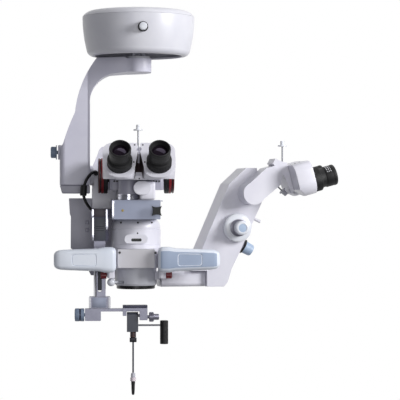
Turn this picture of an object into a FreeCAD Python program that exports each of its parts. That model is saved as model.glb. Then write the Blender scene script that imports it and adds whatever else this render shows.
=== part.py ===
import FreeCAD, Part
import math
import os

import Sketcher
from FreeCAD import Placement, Rotation, Vector

# Surgical microscope head on its ceiling drum, in millimetres.
# The origin is the centre of the drum's top mounting face, +Z is up,
# +X runs to the surgeon's right and -Y points at the surgeon.

doc = FreeCAD.newDocument("surgical_microscope")
sheet = doc.addObject("Spreadsheet::Sheet", "Sizes")


# A number that remembers which cells of the sheet it is made from
class Length:
    def __init__(self, value, text):
        self.value = float(value)
        self.text = text

    def __add__(self, other):
        other = as_length(other)
        return Length(self.value + other.value, f"({self.text} + {other.text})")

    def __radd__(self, other):
        return as_length(other) + self

    def __sub__(self, other):
        other = as_length(other)
        return Length(self.value - other.value, f"({self.text} - {other.text})")

    def __rsub__(self, other):
        return as_length(other) - self

    def __mul__(self, other):
        other = as_length(other)
        return Length(self.value * other.value, f"({self.text} * {other.text})")

    def __rmul__(self, other):
        return as_length(other) * self

    def __truediv__(self, other):
        other = as_length(other)
        return Length(self.value / other.value, f"({self.text} / {other.text})")

    def __neg__(self):
        return Length(-self.value, f"(-1 * {self.text})")


def as_length(number):
    if isinstance(number, Length):
        return number
    return Length(number, f"({float(number):.6f})")


def sine(angle):
    angle = as_length(angle)
    return Length(math.sin(math.radians(angle.value)), f"sin({angle.text})")


def cosine(angle):
    angle = as_length(angle)
    return Length(math.cos(math.radians(angle.value)), f"cos({angle.text})")


sheet_row = [0]


def size(alias, value):
    sheet_row[0] += 1
    row = sheet_row[0]
    sheet.set(f"A{row}", alias.replace("_", " "))
    sheet.set(f"B{row}", str(value))
    sheet.setAlias(f"B{row}", alias)
    return Length(value, f"Sizes.{alias}")


def bind(thing, name, length):
    length = as_length(length)
    if name in ("Length", "Radius", "Angle", "Size"):
        setattr(thing, name, length.value)
    thing.setExpression(name, length.text)


# Sketches: a loop is a list of corners, and a Via between two corners bends that side
class Via:
    def __init__(self, x, y):
        self.at = (as_length(x), as_length(y))


class Circle:
    def __init__(self, x, y, radius):
        self.at = (as_length(x), as_length(y))
        self.radius = as_length(radius)


def flat(at):
    return Vector(at[0].value, at[1].value, 0)


def draw_circle(sketch, circle):
    index = sketch.addGeometry(Part.Circle(flat(circle.at), Vector(0, 0, 1), circle.radius.value))
    pins = [("DistanceX", circle.at[0]), ("DistanceY", circle.at[1])]
    for kind, length in pins:
        pin = sketch.addConstraint(Sketcher.Constraint(kind, -1, 1, index, 3, length.value))
        sketch.setExpression(f"Constraints[{pin}]", length.text)
    pin = sketch.addConstraint(Sketcher.Constraint("Radius", index, circle.radius.value))
    sketch.setExpression(f"Constraints[{pin}]", circle.radius.text)


def draw_loop(sketch, loop):
    corners = []
    bends = []
    for item in loop:
        if isinstance(item, Via):
            bends[-1] = item.at
        else:
            corners.append((as_length(item[0]), as_length(item[1])))
            bends.append(None)
    shapes = []
    for i, corner in enumerate(corners):
        after = corners[(i + 1) % len(corners)]
        if bends[i]:
            shapes.append(Part.Arc(flat(corner), flat(bends[i]), flat(after)))
        else:
            shapes.append(Part.LineSegment(flat(corner), flat(after)))
    first = sketch.GeometryCount
    sketch.addGeometry(shapes, False)
    pins = []
    count = len(corners)
    starts = []
    for i, corner in enumerate(corners):
        # an arc that runs clockwise counts its far end as its first
        starts.append(1)
        if bends[i]:
            out = flat(bends[i]) - flat(corner)
            on = flat(corners[(i + 1) % count]) - flat(bends[i])
            starts[i] = 1 if out.x * on.y - out.y * on.x > 0 else 2
    joins = []
    for i in range(count):
        end_here = 3 - starts[i]
        after = (i + 1) % count
        joins.append(Sketcher.Constraint("Coincident", first + i, end_here, first + after, starts[after]))
        for kind, length in zip(("DistanceX", "DistanceY"), corners[i]):
            pins.append((Sketcher.Constraint(kind, -1, 1, first + i, starts[i], length.value), length))
        if bends[i]:
            dot = sketch.addGeometry(Part.Point(flat(bends[i])), True)
            joins.append(Sketcher.Constraint("PointOnObject", dot, 1, first + i))
            for kind, length in zip(("DistanceX", "DistanceY"), bends[i]):
                pins.append((Sketcher.Constraint(kind, -1, 1, dot, 1, length.value), length))
    sketch.addConstraint(joins)
    for constraint, length in pins:
        pin = sketch.addConstraint(constraint)
        sketch.setExpression(f"Constraints[{pin}]", length.text)


def rounded(cx, cy, width, height, radius):
    # a rectangle with four round corners
    cx, cy = as_length(cx), as_length(cy)
    hw, hh, radius = as_length(width) / 2, as_length(height) / 2, as_length(radius)
    cut = radius * (1 - math.sqrt(0.5))
    return [
        (cx - hw + radius, cy - hh), (cx + hw - radius, cy - hh),
        Via(cx + hw - cut, cy - hh + cut), (cx + hw, cy - hh + radius),
        (cx + hw, cy + hh - radius), Via(cx + hw - cut, cy + hh - cut),
        (cx + hw - radius, cy + hh), (cx - hw + radius, cy + hh),
        Via(cx - hw + cut, cy + hh - cut), (cx - hw, cy + hh - radius),
        (cx - hw, cy - hh + radius), Via(cx - hw + cut, cy - hh + cut),
    ]


def box_loop(x0, y0, x1, y1):
    return [(x0, y0), (x1, y0), (x1, y1), (x0, y1)]


def polar(radius, angle, cx=0, cy=0):
    return (radius * cosine(angle) + cx, radius * sine(angle) + cy)


# Bodies and their features
pieces = []


def work_out(*things):
    # only what is new is worked out, because the sheet is still growing
    sheet.recompute()
    for thing in things:
        thing.recompute()


def new_body(label, place=(0, 0, 0), axis=None, angle=0):
    body = doc.addObject("PartDesign::Body", label)
    body.Label = label
    if axis is not None:
        angle = as_length(angle)
        body.Placement = Placement(Vector(0, 0, 0), Rotation(axis, angle.value))
        body.setExpression("Placement.Rotation.Angle", angle.text)
    for name, length in zip("xyz", place):
        body.setExpression(f"Placement.Base.{name}", as_length(length).text)
    pieces.append(body)
    work_out(body)
    return body


def sketch_on(body, plane, loops, height):
    sketch = body.newObject("Sketcher::SketchObject", f"{body.Label}_sketch")
    for feature in body.Origin.OriginFeatures:
        if feature.Role == plane:
            sketch.AttachmentSupport = [(feature, "")]
    sketch.MapMode = "FlatFace"
    sketch.AttachmentOffset = Placement(Vector(0, 0, as_length(height).value), Rotation())
    sketch.setExpression("AttachmentOffset.Base.z", as_length(height).text)
    for loop in loops:
        if isinstance(loop, Circle):
            draw_circle(sketch, loop)
        else:
            draw_loop(sketch, loop)
    work_out(sketch)
    return sketch


# A pad starts at a height along the plane's normal and grows along it.
# The normals are +Z for XY, -Y for XZ and +X for YZ.
def pad(body, plane, loops, start, thickness):
    sketch = sketch_on(body, plane, loops, start)
    feature = body.newObject("PartDesign::Pad", f"{body.Label}_pad")
    feature.Profile = sketch
    bind(feature, "Length", thickness)
    work_out(feature, body)
    return feature


# A cut starts at a height and runs on along the same normal
def cut(body, plane, loops, start, depth):
    before = body.Shape.Volume
    sketch = sketch_on(body, plane, loops, start)
    feature = body.newObject("PartDesign::Pocket", f"{body.Label}_cut")
    feature.Profile = sketch
    feature.Reversed = True
    bind(feature, "Length", depth)
    work_out(feature, body)
    if body.Shape.Volume > before - 1e-3:
        raise RuntimeError(f"the cut in {body.Label} removes nothing")
    return feature


# The profile is drawn as radius and height, and turned about the body's own Z
def turn(body, loop):
    sketch = sketch_on(body, "XZ_Plane", [loop], 0)
    feature = body.newObject("PartDesign::Revolution", f"{body.Label}_turned")
    feature.Profile = sketch
    feature.ReferenceAxis = (sketch, ["V_Axis"])
    feature.Angle = 360
    work_out(feature, body)
    return feature


def loft(body, plane, sections):
    sketches = [sketch_on(body, plane, [loop], height) for loop, height in sections]
    feature = body.newObject("PartDesign::AdditiveLoft", f"{body.Label}_loft")
    feature.Profile = sketches[0]
    feature.Sections = sketches[1:]
    feature.Ruled = True
    work_out(feature, body)
    return feature


def polar_copies(body, feature, count):
    pattern = body.newObject("PartDesign::PolarPattern", f"{body.Label}_pattern")
    pattern.Originals = [feature]
    pattern.Axis = (feature.Profile[0], ["N_Axis"])
    pattern.Angle = 360
    pattern.Occurrences = count
    body.Tip = pattern
    work_out(pattern, body)
    return pattern


X = Vector(1, 0, 0)
Y = Vector(0, 1, 0)
Z = Vector(0, 0, 1)


def together(label, *parts):
    group = doc.addObject("Part::Compound", label)
    group.Label = label
    group.Links = list(parts)
    for part in parts:
        pieces.remove(part)
    pieces.append(group)
    work_out(group)
    return group


def place_at(thing, at, turned):
    thing.Placement = Placement(Vector(*[as_length(length).value for length in at]), turned)
    for name, length in zip("xyz", at):
        thing.setExpression(f"Placement.Base.{name}", as_length(length).text)


def peg(name, at, turned, radius, length):
    # a round bar that grows from a place along its own Z
    bar = doc.addObject("Part::Cylinder", name)
    bind(bar, "Radius", radius)
    bar.setExpression("Height", as_length(length).text)
    place_at(bar, at, turned)
    work_out(bar)
    return bar


def combine(kind, label, base, tool):
    result = doc.addObject(kind, f"{label}_{kind[6:].lower()}")
    result.Base = base
    result.Tool = tool
    if base in pieces:
        pieces.remove(base)
    base.Label = f"{base.Name}_blank"
    result.Label = label
    pieces.append(result)
    work_out(result)
    return result

# Fits shared by all pieces
seat_gap = size("seat_gap", 0.3)
shaft_gap = size("shaft_gap", 0.05)

# Drum of the XY unit: a domed lid round a steel mounting plate, and a tapering shell
drum_radius = size("drum_radius", 95)
drum_depth = size("drum_depth", 76)
drum_taper = size("drum_taper", 7)
drum_wall = size("drum_wall", 3)
mouth_lip = size("mouth_lip", 4)
lid_height = size("lid_height", 9.6)
plate_radius = size("plate_radius", 60)
plate_thickness = size("plate_thickness", 8)
plate_step = size("plate_step", 8)
plate_bore = size("plate_bore", 15)
bolt_circle = size("bolt_circle", 96)
bolt_hole = size("bolt_hole", 4.5)

mount_plate = new_body("mount_plate")
turn(mount_plate, [
    (plate_bore, 0), (plate_radius, 0), (plate_radius, -drum_wall - seat_gap),
    (plate_radius + plate_step, -drum_wall - seat_gap), (plate_radius + plate_step, -plate_thickness),
    (plate_bore, -plate_thickness)])
hole = cut(mount_plate, "XY_Plane", [Circle(bolt_circle / 2, 0, bolt_hole)], -plate_thickness - 1,
           plate_thickness + 2)
polar_copies(mount_plate, hole, 4)

drum_lid = new_body("drum_lid")
lid_inner = plate_radius + seat_gap
turn(drum_lid, [
    (lid_inner, 0), (drum_radius - 19, 0), Via(drum_radius - 5.6, -lid_height * 0.36),
    (drum_radius, -lid_height), (drum_radius - drum_wall, -lid_height),
    Via(drum_radius - 8, -lid_height * 0.6), (drum_radius - 19, -drum_wall), (lid_inner, -drum_wall)])

drum_shell = new_body("drum_shell")
shell_top = -lid_height - seat_gap
hip = drum_radius - drum_taper
mouth_radius = hip - 10 - mouth_lip
hip_height = -drum_depth + 10
turn(drum_shell, [
    (drum_radius, shell_top), Via(drum_radius - drum_taper * 0.25, shell_top * 0.5 + hip_height * 0.5),
    (hip, hip_height), Via(hip - 3, -drum_depth + 3.4), (hip - 10, -drum_depth),
    (mouth_radius, -drum_depth), (mouth_radius, -drum_depth + drum_wall),
    (hip - 10, -drum_depth + drum_wall), Via(hip - 5.2, -drum_depth + 5.6), (hip - drum_wall, hip_height),
    Via(drum_radius - drum_taper * 0.25 - drum_wall, shell_top * 0.5 + hip_height * 0.5),
    (drum_radius - drum_wall, shell_top)])

# Knob on the front of the drum: a dark skirt with a pale cap
drum_knob_radius = size("drum_knob_radius", 8.5)
drum_knob_reach = size("drum_knob_reach", 15)
drum_knob_height = size("drum_knob_height", -34)
drum_knob_x = size("drum_knob_x", 4)
knob_shaft = size("knob_shaft", 3)
drum_face = drum_radius - 0.4
drum_knob = new_body("drum_knob", (drum_knob_x, -drum_face, drum_knob_height), X, 90)
turn(drum_knob, [
    (0, -9), (knob_shaft, -9), (knob_shaft, seat_gap), (drum_knob_radius, seat_gap),
    (drum_knob_radius, drum_knob_reach * 0.6), (drum_knob_radius * 0.78, drum_knob_reach * 0.66),
    (drum_knob_radius * 0.76, drum_knob_reach - 1.5), Via(drum_knob_radius * 0.7, drum_knob_reach - 0.4),
    (drum_knob_radius * 0.56, drum_knob_reach), (0, drum_knob_reach)])
cut(drum_shell, "XZ_Plane", [Circle(drum_knob_x, drum_knob_height, knob_shaft + shaft_gap)], 60, 60)

# Crossed slides inside the drum
rod_radius = size("rod_radius", 4)
rod_spread = size("rod_spread", 38)
rod_spread_y = size("rod_spread_y", 22)
x_rod_height = size("x_rod_height", -30)
y_rod_height = size("y_rod_height", -46)
block_x = size("block_x", 58)
block_thickness = size("block_thickness", 10)

slide_frame = new_body("slide_frame")
half_block = rod_spread + 10
for side in (-1, 1):
    x_near = side * block_x - block_thickness / 2
    pad(slide_frame, "XY_Plane", [box_loop(x_near, -half_block, x_near + block_thickness, half_block)],
        x_rod_height - rod_radius - 3, -plate_thickness - x_rod_height + rod_radius + 3 - seat_gap)
    pad(slide_frame, "YZ_Plane", [Circle(side * rod_spread, x_rod_height, rod_radius)], -block_x, block_x * 2)

cross_carriage = new_body("cross_carriage")
carriage_half = size("carriage_half", 30)
carriage_end = size("carriage_end", 46)
carriage_lip = size("carriage_lip", 8)
pad(cross_carriage, "XY_Plane",
    [rounded(0, 0, carriage_half * 2, (carriage_end + carriage_lip) * 2, 5)], x_rod_height - 6, 12)
for side in (-1, 1):
    y_near = -side * carriage_end - carriage_lip / 2 - side * carriage_lip / 2
    pad(cross_carriage, "XY_Plane",
        [box_loop(-carriage_half, y_near, carriage_half, y_near + carriage_lip)],
        y_rod_height - rod_radius - 2, x_rod_height - y_rod_height + rod_radius)
    cut(cross_carriage, "YZ_Plane", [Circle(side * rod_spread, x_rod_height, rod_radius + shaft_gap)],
        -carriage_half - 1, carriage_half * 2 + 2)
for side in (-1, 1):
    pad(cross_carriage, "XZ_Plane", [Circle(side * rod_spread_y, y_rod_height, rod_radius)],
        -carriage_end - 1, carriage_end * 2 + 2)

# Carriage that hangs the swivel: bushed block, three posts, flange and pivot pin
spindle_half = size("spindle_half", 20)
post_radius = size("post_radius", 3.2)
post_circle = size("post_circle", 9)
flange_radius = size("flange_radius", 20)
flange_thickness = size("flange_thickness", 3.4)
hub_top = size("hub_top", -80)
pivot_radius = size("pivot_radius", 8)
pivot_length = size("pivot_length", 18)

spindle_carriage = new_body("spindle_carriage")
pad(spindle_carriage, "XY_Plane", [rounded(0, 0, rod_spread_y * 2 + 14, spindle_half * 2, 4)],
    y_rod_height - 6, 11)
for side in (-1, 1):
    cut(spindle_carriage, "XZ_Plane", [Circle(side * rod_spread_y, y_rod_height, rod_radius + shaft_gap)],
        -spindle_half - 1, spindle_half * 2 + 2)
flange_bottom = hub_top + seat_gap
pad(spindle_carriage, "XY_Plane", [Circle(*polar(post_circle, 90 + 120 * k), post_radius) for k in range(3)],
    flange_bottom, y_rod_height - 6 - flange_bottom)
pad(spindle_carriage, "XY_Plane", [Circle(0, 0, flange_radius)], flange_bottom, flange_thickness)
pad(spindle_carriage, "XY_Plane", [Circle(0, 0, pivot_radius)], hub_top - pivot_length,
    pivot_length + seat_gap + 1)

# Suspension arm: its front outline, trimmed to its outline from above
hub_radius = size("hub_radius", 22)
hub_bottom = size("hub_bottom", -103)
web_top = size("web_top", -77.6)
arm_inner = size("arm_inner", -82)
arm_outer = size("arm_outer", -133.6)
arm_waist = size("arm_waist", -107.5)
arm_waist_height = size("arm_waist_height", -170)
arm_flare_height = size("arm_flare_height", -240)
arm_end = size("arm_end", -294)
arm_front = size("arm_front", 15)
arm_back = size("arm_back", 65)
tilt_y = (arm_front + arm_back) / 2
tilt_rise = size("tilt_rise", 16)
tilt_z = arm_end + tilt_rise
tilt_pin = size("tilt_pin", 12)

suspension_arm = new_body("suspension_arm")
pad(suspension_arm, "XZ_Plane", [[
    (-hub_radius, web_top), (arm_waist + 37, web_top), Via(arm_waist + 14.5, arm_waist_height + 55),
    (arm_waist, arm_waist_height), Via(arm_waist - 11, arm_waist_height - 26),
    (arm_outer + 6, arm_flare_height + 17), Via(arm_outer + 1.2, arm_flare_height + 6),
    (arm_outer, arm_flare_height - 6), (arm_outer, arm_end), (arm_inner, arm_end),
    (arm_inner, hub_bottom - 54), Via(arm_inner + 9.5, hub_bottom - 20), (arm_inner + 36, hub_bottom - 2),
    (arm_inner + 62, hub_bottom), (hub_radius, hub_bottom), (hub_radius, hub_top), (-hub_radius, hub_top)]],
    -arm_back, arm_back + hub_radius)
corner = size("arm_corner", 9)
bevel = corner * (1 - math.sqrt(0.5))
cut(suspension_arm, "XY_Plane", [
    box_loop(-220, -120, 120, 160),
    [(hub_radius, 0), Via(hub_radius * 0.62, arm_back * 0.62), (-30, arm_back - 1), (-70, arm_back),
     (arm_outer + corner, arm_back), Via(arm_outer + bevel, arm_back - bevel),
     (arm_outer, arm_back - corner), (arm_outer, arm_front + corner),
     Via(arm_outer + bevel, arm_front + bevel), (arm_outer + corner, arm_front), (arm_inner - 4, arm_front),
     (-hub_radius * 0.6, -hub_radius * 0.8), Via(hub_radius * 0.6, -hub_radius * 0.8)]],
    arm_end - 1, -arm_end)
cut(suspension_arm, "XY_Plane", [Circle(0, 0, pivot_radius + shaft_gap)], hub_top - pivot_length - 1,
    pivot_length + 8)

# Tilt knob on the arm's left, in a round boss
tilt_knob_z = size("tilt_knob_z", -238.3)
boss_radius = size("boss_radius", 12.5)
boss_reach = size("boss_reach", 3)
tilt_shaft = size("tilt_shaft", 3.2)
tilt_knob_radius = size("tilt_knob_radius", 9.5)
tilt_knob_length = size("tilt_knob_length", 9)
pad(suspension_arm, "YZ_Plane", [Circle(tilt_y, tilt_knob_z, boss_radius)], arm_outer - boss_reach,
    boss_reach + 8)
cut(suspension_arm, "YZ_Plane", [Circle(tilt_y, tilt_knob_z, tilt_shaft + shaft_gap)],
    arm_outer - boss_reach - 1, 14)
cut(suspension_arm, "YZ_Plane", [Circle(tilt_y, tilt_z, tilt_pin + shaft_gap)], arm_inner - 18, 19)

boss_face = arm_outer - boss_reach
tilt_knob = new_body("tilt_knob", (boss_face, tilt_y, tilt_knob_z), Vector(0, 1, 0), -90)
turn(tilt_knob, [
    (0, -10), (tilt_shaft, -10), (tilt_shaft, 2), (boss_radius, 2), (boss_radius, 3.6),
    (tilt_knob_radius, 3.6), (tilt_knob_radius, tilt_knob_length + 2.6),
    (tilt_knob_radius - 1, tilt_knob_length + 3.6), (0, tilt_knob_length + 3.6)])

arm_end_cap = new_body("arm_end_cap")
cap_depth = size("cap_depth", 15)
pad(arm_end_cap, "XZ_Plane", [[
    (arm_outer, arm_end - seat_gap), (arm_inner, arm_end - seat_gap), (arm_inner, arm_end - cap_depth),
    (arm_outer + 4, arm_end - cap_depth)]], -arm_back + 2, arm_back - arm_front - 4)

# Focus housing behind the scope: it turns on the tilt pin and carries the focus rail
focus_front = size("focus_front", 52)
focus_depth = size("focus_depth", 46)
focus_left = size("focus_left", -78)
focus_right = size("focus_right", 24)
focus_rise = size("focus_rise", 66)
focus_fall = size("focus_fall", 40)
focus_top = arm_end + focus_rise
focus_bottom = arm_end - focus_fall
pivot_flange = size("pivot_flange", 17)
rail_half = size("rail_half", 11)
focus_back = focus_front + focus_depth

focus_housing = new_body("focus_housing")
pad(focus_housing, "XZ_Plane", [[
    (focus_left, focus_bottom), (focus_right, focus_bottom), (focus_right, focus_top - 10),
    Via(focus_right - 3, focus_top - 3), (focus_right - 10, focus_top), (focus_left + 18, focus_top),
    Via(focus_left + 13, focus_top - 4), (focus_left + 11, focus_top - 10), (focus_left, focus_top - 36)]],
    -focus_back, focus_depth)
pad(focus_housing, "YZ_Plane", [Circle(tilt_y, tilt_z, pivot_flange)], arm_inner + seat_gap,
    focus_left - arm_inner + 2.5 - seat_gap)
pad(focus_housing, "YZ_Plane", [Circle(tilt_y, tilt_z, tilt_pin)], arm_inner - 16, 18)
rail_reach = size("rail_reach", 3.6)
pad(focus_housing, "XZ_Plane", [
    box_loop(-4.5 - rail_half, focus_bottom + 4, -4.5 + rail_half, focus_top - 12)], -focus_front, rail_reach)

# Rear housing below the arm: lamp and focus drive
rear_left = size("rear_left", -118)
rear_gap = size("rear_gap", 8)
rear_top = arm_end - cap_depth - rear_gap
rear_right = size("rear_right", -30)
rear_fall = size("rear_fall", 156)
rear_bottom = arm_end - rear_fall
rear_housing = new_body("rear_housing")
pad(rear_housing, "XZ_Plane", [[
    (rear_left, rear_top), (focus_left - seat_gap, rear_top),
    (focus_left - seat_gap, focus_bottom - seat_gap), (rear_right, focus_bottom - seat_gap),
    (rear_right, rear_bottom), (rear_left + 38, rear_bottom), (rear_left + 32, rear_bottom + 12),
    (rear_left + 12, rear_bottom + 40), (rear_left + 3, rear_bottom + 47), (rear_left + 3.4, rear_top - 32),
    (rear_left + 1.5, rear_top - 26)]], -focus_back, focus_depth)
for k in range(2):
    block_top = rear_top - 39 - 13.5 * k
    pad(rear_housing, "XZ_Plane", [box_loop(-89, block_top - 5, -84, block_top)], -focus_front, 2)

# Lead that loops from the focus housing round to the rear housing
cable_radius = size("cable_radius", 2.5)
cable_points = [
    (-71, focus_front.value, 4), (-71, 39.5, 4), (-72.5, 17.5, 7.5), (-83.5, -0.5, 1), (-92.5, -10, -15.5),
    (-94, -10, -36.5), (-85, -4, -54), (-73.5, 10.5, -63), (-71, 31, -66), (-71, focus_front.value, -66)]
cable_route = [Vector(x, y, tilt_z.value + z) for x, y, z in cable_points]


def round_route(points):
    # straight runs joined by tangent arcs, each as large as its two runs allow
    edges = []
    radii = []
    at = points[0]
    for before, corner_point, after in zip(points, points[1:], points[2:]):
        back = before - corner_point
        on = after - corner_point
        half = (math.pi - back.getAngle(on)) / 2
        reach = 0.45 * min(back.Length, on.Length)
        radii.append(reach / math.tan(half))
        first = corner_point + back.normalize() * reach
        last = corner_point + on.normalize() * reach
        bisector = (back + on).normalize()
        middle = corner_point + bisector * (radii[-1] / math.cos(half) - radii[-1])
        edges.append(Part.LineSegment(at, first).toShape())
        edges.append(Part.Arc(first, middle, last).toShape())
        at = last
    edges.append(Part.LineSegment(at, points[-1]).toShape())
    return Part.Wire(edges), radii


path, cable_radii = round_route(cable_route)
start_way = cable_route[1] - cable_route[0]
section = Part.Wire(Part.Circle(cable_route[0], start_way, cable_radius.value).toShape())
cable = doc.addObject("Part::Feature", "cable")
cable.Label = "cable"
cable.Shape = path.makePipeShell([section], True, False)
pieces.append(cable)
expected = math.pi * cable_radius.value ** 2 * path.Length
print("cable length", round(path.Length, 1), "radii", [round(r, 1) for r in cable_radii],
      "volume ratio", round(cable.Shape.Volume / expected, 4))

# Glands at both ends of the lead and the plug beside it
gland_radius = size("gland_radius", 4)
gland_length = size("gland_length", 9)
cable_fittings = new_body("cable_fittings")
for lead in (cable_route[0], cable_route[-1]):
    rims = [Circle(lead.x, lead.z, gland_radius), Circle(lead.x, lead.z, cable_radius + 0.3)]
    pad(cable_fittings, "XZ_Plane", rims, -focus_front, gland_length)

# Microscope column: zoom drum, lower body, objective
axis_x = size("axis_x", -4.5)
zoom_radius = size("zoom_radius", 42.3)
zoom_top = size("zoom_top", -352.4)
zoom_bottom = size("zoom_bottom", -402)
seam_depth = size("seam_depth", 0.8)
zoom_body = new_body("zoom_body", (axis_x, 0, 0))
turn(zoom_body, [
    (0, zoom_top), (zoom_radius - 8, zoom_top), Via(zoom_radius - 2.6, zoom_top - 6),
    (zoom_radius - 0.8, zoom_top - 16), (zoom_radius - 1.6, zoom_top - 16.4),
    (zoom_radius - 1.6, zoom_top - 17.2), (zoom_radius, zoom_top - 17.6), (zoom_radius, zoom_top - 42),
    (zoom_radius - seam_depth, zoom_top - 42.3), (zoom_radius - seam_depth, zoom_top - 43.1),
    (zoom_radius, zoom_top - 43.4), (zoom_radius, zoom_bottom), (0, zoom_bottom)])

zoom_window = new_body("zoom_window")
window_z = size("window_z", -385.5)
window_width = size("window_width", 39)
window_height = size("window_height", 15)
window_corner = window_height / 2 - 0.2
pad(zoom_window, "XZ_Plane", [rounded(axis_x - 1, window_z, window_width, window_height, window_corner)],
    30, zoom_radius - 28)
cut(zoom_window, "XY_Plane", [Circle(axis_x, 0, zoom_radius + shaft_gap)], window_z - 20, 40)
cut(zoom_window, "XZ_Plane", [rounded(axis_x - 0.5, window_z - 1.5, 17.5, 5.2, 2.4)], zoom_radius + 0.8, 3)

# Lower body: rounded block with the carrier plate behind it and the two handle lugs
block_width = size("block_width", 80)
block_front = size("block_front", -47)
block_corner = size("block_corner", 25)
block_bottom = size("block_bottom", -434.4)
plate_back = size("plate_back", 48)
plate_front = zoom_radius + 0.4
plate_half = size("plate_half", 29)
plate_top = size("plate_top", -285)
lug_z = size("lug_z", -451.3)
lug_back = size("lug_back", -19)
lug_inner = size("lug_inner", 36.5)
lug_outer = size("lug_outer", 49)
lower_body = new_body("lower_body")
pad(lower_body, "XY_Plane", [rounded(axis_x - 1, (plate_front + block_front) / 2, block_width,
    plate_front - block_front, block_corner)], block_bottom, zoom_bottom - seat_gap - block_bottom)
pad(lower_body, "XY_Plane", [box_loop(axis_x - plate_half, plate_front, axis_x + plate_half, plate_back)],
    block_bottom, plate_top - block_bottom)
shoe_inner = rail_half + seat_gap
for side in (-1, 1):
    near = axis_x + side * (shoe_inner + 6) - 6
    pad(lower_body, "XY_Plane", [box_loop(near, plate_back - 1, near + 12, focus_front - seat_gap)], -330, 40)
    lug_near = axis_x + side * (lug_inner + lug_outer) / 2 - (lug_outer - lug_inner) / 2
    pad(lower_body, "XY_Plane", [rounded(lug_near + (lug_outer - lug_inner) / 2, (lug_back - 44) / 2,
        lug_outer - lug_inner, lug_back + 44, 4)],
        lug_z, zoom_bottom - 8 - lug_z)

plate_width = size("plate_width", 62.3)
plate_height = size("plate_height", 31.4)
plate_z = size("plate_z", -418)
face_thickness = size("face_thickness", 3)
front_plate = new_body("front_plate")
pad(front_plate, "XZ_Plane", [rounded(axis_x - 1.1, plate_z, plate_width, plate_height, 2.5)],
    -block_front, face_thickness)

objective_radius = size("objective_radius", 35.6)
objective_bottom = size("objective_bottom", -464.6)
slot_z = size("slot_z", -458.6)
slot_height = size("slot_height", 4.4)
slot_depth = size("slot_depth", 9)
objective_housing = new_body("objective_housing", (axis_x, 0, 0))
objective_top = block_bottom - seat_gap
turn(objective_housing, [
    (0, objective_top), (objective_radius, objective_top), (objective_radius, objective_bottom + 3),
    (objective_radius - 1.6, objective_bottom), (0, objective_bottom)])
slot_start = size("slot_start", 208)
slot_sweep = size("slot_sweep", 26)
slot_in = objective_radius - slot_depth
slot_out = objective_radius + 2
cut(objective_housing, "XY_Plane", [[
    polar(slot_in, slot_start), Via(*polar(slot_in, slot_start + slot_sweep / 2)),
    polar(slot_in, slot_start + slot_sweep), polar(slot_out, slot_start + slot_sweep),
    Via(*polar(slot_out, slot_start + slot_sweep / 2)), polar(slot_out, slot_start)]],
    slot_z - slot_height / 2, slot_height)

# Lever with a white ball, at one end of its slot
ball_radius = size("ball_radius", 6.8)
ball_reach = size("ball_reach", 50)
stem_radius = size("stem_radius", 1.6)
lever_angle = slot_start + 4
lever_start = slot_in + seat_gap
ball_lever = new_body("ball_lever")
place_at(ball_lever, (axis_x, 0, slot_z), Rotation(Z, lever_angle.value) * Rotation(Z, X))
ball_arc = [14 + 152 * k / 14 for k in range(15)]
turn(ball_lever, [(0, lever_start), (stem_radius, lever_start)]
     + [(ball_radius * sine(a), ball_reach - ball_radius * cosine(a)) for a in ball_arc]
     + [(0, ball_reach - ball_radius * cosine(ball_arc[-1]))])

ring_radius = size("ring_radius", 32.7)
ring_height = size("ring_height", 5.8)
lens_radius = size("lens_radius", 27)
ring = new_body("ring", (axis_x, 0, objective_bottom))
turn(ring, [
    (lens_radius, 0), (ring_radius, 0), (ring_radius, -ring_height + 1), (ring_radius - 1, -ring_height),
    (lens_radius + 1.5, -ring_height), (lens_radius, -ring_height + 2)])
lens = new_body("lens", (axis_x, 0, objective_bottom - seat_gap))
turn(lens, [
    (0, 0), (lens_radius - shaft_gap, 0), (lens_radius - shaft_gap, -2), Via(lens_radius * 0.5, -3.3),
    (1, -3.8), (0, -3.8)])

objective_ring = together("objective_ring", ring, lens)

# Handles: lofted grips in front of the lugs, mirrored left and right
handle_inner = size("handle_inner", 35)
handle_outer = size("handle_outer", 138.5)
handle_root_height = size("handle_root_height", 43)
handle_end_height = size("handle_end_height", 32)
handle_depth = size("handle_depth", 27)
handle_y = -44 - seat_gap - handle_depth / 2
handle_z = size("handle_z", -421.5)


def handle(label, side):
    body = new_body(label, (axis_x, 0, 0))
    grow = handle_outer - handle_inner
    stations = [
        (0, 30, 0.6), (5, handle_root_height - 2, 0.94), (10, handle_root_height, 1),
        (19, handle_root_height, 1), (33, handle_root_height - 4.5, 1), (grow - 9, handle_end_height, 0.94),
        (grow - 3, handle_end_height - 4, 0.82), (grow, handle_end_height - 13, 0.5)]
    sections = []
    for along, height, share in stations:
        depth = handle_depth * share
        radius = depth * 0.36
        sections.append((rounded(handle_y, handle_z, depth, height, radius), side * (handle_inner + along)))
    loft(body, "YZ_Plane", sections)
    cut(body, "XZ_Plane", [rounded(side * (handle_inner + 64), handle_z + 1, 45, 15.5, 5)],
        -handle_y + handle_depth / 2 - 1, 4)
    return body


left_handle = handle("left_handle", -1)
right_handle = handle("right_handle", 1)

# Red clamp knobs on the outside of the lugs
clamp_radius = size("clamp_radius", 6)
clamp_length = size("clamp_length", 10)
clamp_y = size("clamp_y", -26)
clamp_z = size("clamp_z", -446.8)
clamp_shaft = size("clamp_shaft", 2.5)
for label, side in (("left_clamp_knob", -1), ("right_clamp_knob", 1)):
    knob = new_body(label, (axis_x + side * lug_outer, clamp_y, clamp_z), Vector(0, 1, 0), 90 * side)
    turn(knob, [
        (0, -9), (clamp_shaft, -9), (clamp_shaft, 1.2), (clamp_radius, 1.2),
        (clamp_radius, clamp_length), (clamp_radius - 1.2, clamp_length + 1.2), (0, clamp_length + 1.2)])
    cut(lower_body, "YZ_Plane", [Circle(clamp_y, clamp_z, clamp_shaft + shaft_gap)],
        axis_x + side * (lug_outer - 5) - 6, 12)

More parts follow.
